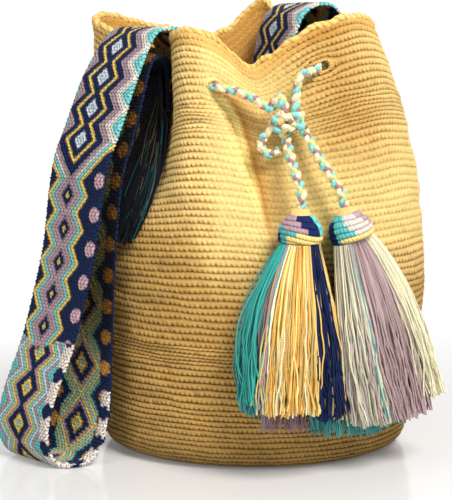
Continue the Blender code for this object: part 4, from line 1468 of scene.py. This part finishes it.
# Lines of the patterns: up to how many knots from a diamond's middle, and the colour
A_INNER = ((0.7, STRAP_TEAL * 0.8), (2.9, GREY), (5.8, STRAP_NAVY), (7.4, STRAP_YELLOW))
A_NEAR = (*A_INNER, (10.6, STRAP_NAVY), (13.8, STRAP_MAUVE), (16.6, CREAM), (99, STRAP_TEAL))
A_FAR = (*A_INNER, (10.3, STRAP_NAVY), (13.2, STRAP_MAUVE), (99, STRAP_TEAL))
A_LAST = (*A_INNER, (11.0, STRAP_NAVY), (13.1, STRAP_MAUVE), (14.5, CREAM * 0.85),
          (16.3, STRAP_TEAL), (17.9, STRAP_YELLOW), (99, STRAP_NAVY))
B_BANDS = ((0.9, STRAP_YELLOW), (2.9, STRAP_NAVY), (4.9, STRAP_MAUVE), (5.6, STRAP_MAUVE * 1.3),
           (6.6, STRAP_MAUVE), (8.3, STRAP_TEAL), (10.0, STRAP_YELLOW), (99, STRAP_NAVY))
C_BANDS = ((1.1, STRAP_TEAL), (2.8, STRAP_YELLOW), (5.6, STRAP_NAVY), (7.0, STRAP_MAUVE),
           (8.5, STRAP_YELLOW), (9.9, STRAP_TEAL), (11.2, GREY), (12.6, STRAP_MAUVE),
           (99, STRAP_TEAL))
D_BANDS = ((1.0, STRAP_TEAL), (2.8, STRAP_YELLOW), (5.6, STRAP_NAVY), (7.0, STRAP_MAUVE),
           (8.4, STRAP_YELLOW), (9.8, STRAP_TEAL), (11.2, STRAP_YELLOW * 0.85),
           (12.6, STRAP_TEAL * 0.8), (99, STRAP_NAVY))


def pattern_a(x, at, start):
    """Light diamonds between yellow zigzags on navy; a cream line and aqua on the near side."""
    period = 0.024
    off = x - 2.6
    fold = np.where(at < start, np.maximum(0.0, start - at) * 2 / period,
                    zigzag(at, period, start))
    q = np.abs(off) + 4.8 * fold
    colour = coloured(banded(q, A_FAR), (off < 0, banded(q, A_NEAR)),
                      (at < start, banded(q, A_LAST)))
    return colour, q / 1.45


def pattern_b(x, at, start):
    """Mauve and grey zigzags round navy diamonds, then teal and yellow, ovals on navy."""
    period = 0.0248
    off = x - 3.0
    q = np.abs(off) + 4.1 * zigzag(at, period, start)
    spot = ovals(off, repeats(at, period, start) * period, -13.8, 2.2, 0.0056)
    return coloured(banded(q, B_BANDS), (spot, PINK)), q / 1.65, spot


def pattern_c(x, at, start):
    """Crossing navy lines round small yellow diamonds, and a white border of navy ovals."""
    period = 0.028
    q = np.abs(x - 1.4) + 5.0 * zigzag(at, period, start)
    return white_border(banded(q, C_BANDS), x, at, period, start), q / 1.4


def white_border(colour, x, at, period, start):
    """A white border on the near side with a row of navy ovals."""
    spot = ovals(x, repeats(at, period, start) * period, -11.3, 1.9, 0.0062)
    return coloured(colour, (x < -9.8, CREAM), (spot, STRAP_NAVY))


BORDER_FROM = 0.31
BORDER_END = 0.47


def pattern_d(x, at, start):
    """Large diamonds with a yellow flower, for the side that faces in."""
    period = 0.046
    q = np.abs(x) + 8.0 * zigzag(at, period, start)
    along = (((at - start) / (period / 2) + 0.5) % 1.0 - 0.5) * (period / 2)
    spots = ovals(np.abs(x), along, 10.6, 1.9, 0.0058)
    colour = coloured(banded(q, D_BANDS), (np.abs(x) > 8.4, STRAP_NAVY), (spots, DEEP_YELLOW))
    colour = coloured(colour, ((at > BORDER_FROM) & (at < BORDER_END),
                               white_border(colour, x, at, period / 2, start)))
    # The part that hangs in the shade beside the bag
    shade = smooth((0.32 - at) / 0.08)[..., None] * np.array([0.7, 0.75, 0.84])
    return colour * (1.0 - shade), q / 1.4


# Metres along the strap: where a pattern's diamonds are counted from
A_START = 0.633
B_START = 0.592
C_START = 0.417
D_START = 0.338
# Metres along the strap: where the rim's shade ends, and where patterns give way to others
SHADE_END = 0.056
FIRST_A_END = 0.14
C_FROM = 0.34
C_END = 0.474
A_FROM = 0.604
LAST_SPOT_END = 0.613


def strap_colours(x, at, patterned):
    """The strap's colour, x knots off its middle and at metres along it, and the line of beads."""
    x, at = np.broadcast_arrays(x, at)
    if not patterned:
        return pattern_d(x, at, D_START)
    a, line_a = pattern_a(x, at, A_START)
    b, line_b, spot = pattern_b(x, at, B_START)
    c, line_c = pattern_c(x, at, C_START)
    slope = np.minimum(np.abs(x - 2.8), 8.0)
    in_c = (at < C_END + 0.0012 * slope) & (at > C_FROM)
    in_a = (at < FIRST_A_END) | (at > A_FROM) & ~(spot & (at < LAST_SPOT_END))
    a = a * np.where(at < SHADE_END, 0.3, 1.0)[..., None]
    line = np.where(in_a, line_a, np.where(in_c, line_c, line_b))
    return coloured(b, (in_c, c), (in_a, a)), line


BEAD = 0.0025


def strap(mat):
    """The band: beads follow the pattern's own lines, in the relief and in the material."""
    sheet, at, total, sides = strap_surface()
    rows = len(sheet)
    normal = unit(np.cross(np.gradient(sheet, axis=0), np.gradient(sheet, axis=1)))
    inverse = np.linalg.inv(np.polynomial.polynomial.polyvander(sides, 4))
    rng = np.random.default_rng(17)

    def layer(j, patterned, side):
        """Points of one surface of the band, at places j across it."""
        mix = np.polynomial.polynomial.polyvander(j, 4) @ inverse
        place = np.einsum("ck,rkd->rcd", mix, sheet)
        out = unit(np.einsum("ck,rkd->rcd", mix, normal)) * side
        _, line = strap_colours(j[None] * KNOTS_ACROSS / 2, at[:, None], patterned)
        run = at[:, None] / BEAD + 0.45 * (line % 1.0)
        high = (1.0 - (2 * (line % 1.0) - 1) ** 2) * (1.0 - (2 * (run % 1.0) - 1) ** 2)
        high = (high - 0.42 + rng.normal(0, 0.06, high.shape)) / 1000.0
        thin = 1.0 - 0.55 * smooth((np.abs(j) - 0.93) / 0.07)
        place = place + out * (STRAP_THICKNESS / 2 * thin + high)[..., None]
        wave = 0.0005 * np.sin(2 * math.pi * at / BEAD)[:, None] * (np.abs(j) > 0.999) * np.sign(j)
        return place + unit(np.gradient(place, j, axis=1)) * wave[..., None]

    j_face = np.linspace(-1.0, 1.0, 2 * KNOTS_ACROSS + 1)
    j_back = np.linspace(1.0, -1.0, KNOTS_ACROSS + 1)
    ring = np.concatenate([layer(j_face, True, 1.0), layer(j_back, False, -1.0)], axis=1)
    columns = ring.shape[1]
    faces = grid_faces(rows, columns)
    i = (faces[:, :1] // columns) + np.array([0, 0, 1, 1])
    first = faces[:, 0] % columns
    k = (first[:, None] + np.array([0, 1, 1, 0])) % columns
    x = np.concatenate([j_face, j_back])[k] * KNOTS_ACROSS / 2
    on_face = ((first < len(j_face)) | (first == columns - 1))[:, None]
    face, face_line = strap_colours(x, at[i], True)
    back, back_line = strap_colours(x, at[i], False)
    shade = rng.normal(1.0, 0.05, (rows, columns))[i, k]
    colour = np.where(on_face[..., None], face, back) * shade[..., None]
    uv = np.stack([np.where(on_face, face_line, back_line), at[i] / BEAD], axis=-1)
    ends = [tuple(range(columns - 1, -1, -1)),
            tuple(range((rows - 1) * columns, rows * columns))]
    colour = np.concatenate([colour.reshape(-1, 3), np.tile(NAVY, (2 * columns, 1))])
    uv = np.concatenate([uv.reshape(-1, 2), np.full((2 * columns, 2), 0.5)])
    all_faces = [tuple(f) for f in faces] + ends
    band = add_piece("woven_band", ring.reshape(-1, 3), all_faces, mat, "woven_strap", colour,
                     uv, "strap")
    return band, total


FRINGE_YARNS = 340
FRINGE_POINTS = 14
FRINGE_YARN_RADIUS = 0.00062
BRIGHT_SHARE = 0.05
# The bright yarns' colours, in painted shade, each for the picks under its number
BRIGHT_YARNS = ((BRIGHT_SHARE, TASSEL_TEAL * 0.22), (0.026, DEEP_YELLOW * 0.32),
                (0.014, GREY * 0.2))


def fringe(name, degrees, side, mat, node, seed):
    """The loose warp ends, hanging along the wall below the strap's sewn end."""
    rng = np.random.default_rng(seed)
    sewn = SEWN_LENGTH / WALL_HEIGHT
    top = SEWN_TOP_LEVEL - sewn
    drop = FRINGE_LENGTH / WALL_HEIGHT
    count = FRINGE_YARNS
    t = np.linspace(0.0, 1.0, FRINGE_POINTS)[None] * rng.uniform(0.7, 1.04, count)[:, None]
    turn = rng.uniform(0, 2 * math.pi, count)[:, None]
    spread = np.sqrt(rng.uniform(0, 1, count))[:, None]
    # Painted shade: the navy warp ends are near black, as they hang in the shade beside the bag
    colour = np.tile(SHADE, (count, 1))
    pick = rng.random(count)
    for limit, tint in BRIGHT_YARNS:
        colour[pick < limit] = tint
    bright = pick < BRIGHT_SHARE
    turn[bright] = rng.uniform(0.3, 1.8, (count, 1))[bright]
    spread[bright] = 1.0
    t[bright] *= rng.uniform(0.45, 1.0, (count, 1))[bright]
    # Half of the yarns start higher and lie over the sewn end
    over = (rng.random(count) < 0.5)[:, None]
    level = top + 0.01 - drop * t + over * sewn * 0.86 * (1.0 - t)
    wide = FRINGE_HALF_WIDTH * (0.75 + 0.5 * np.sin(math.pi * np.clip(t, 0, 1) ** 0.8) + 0.25 * t)
    deep = FRINGE_HALF_DEPTH * (0.6 + 0.4 * smooth(4 * t))
    at = degrees - side * (9.0 - 5.0 * t)
    r = radius_at(np.radians(at), level)
    wave = 0.17 * np.sin(t * rng.uniform(4, 9, count)[:, None] + rng.uniform(0, 6, count)[:, None])
    across = np.cos(turn) * spread + wave * smooth(3 * t)
    angle = np.radians(at) + wide * across / r
    off = ROW_DEPTH + GAP * 1.5 + deep * (1.0 + np.sin(turn) * spread)
    laid = ROW_DEPTH + GAP + SEWN_SLACK + STRAP_THICKNESS + 0.0012 + 0.0014 * spread
    off = np.where(over & (level > top - 0.02), np.maximum(off, laid), off)
    place = wall_point(angle, level, off)
    colour = colour * (1.0 + rng.normal(0, 0.1, (count, 1)))
    thick = rng.uniform(0.8, 1.2, count) * np.where(bright, 0.55, 1.0)
    return yarns(name, place, FRINGE_YARN_RADIUS * thick[:, None], colour, 4, FRINGE_TWIST, mat,
                 "navy_yarn", node)


# All of it
def main():
    camera()
    cord_mat = yarn_material("braided_yarn", 0.25)
    drawstring(cord_mat)
    tassels(cord_mat)
    studio()
    floor()
    body()
    band, total = strap(woven_material())
    loose = yarn_material("navy_yarn_loose", 0.3, 700.0)
    ends = [fringe("warp_ends_left", STRAP_LEFT_ANGLE, -1, loose, "strap_fringe_left", 61),
            fringe("warp_ends_right", STRAP_RIGHT_ANGLE, 1, loose, "strap_fringe_right", 62)]
    bpy.context.scene.view_settings.view_transform = "Standard"


main()
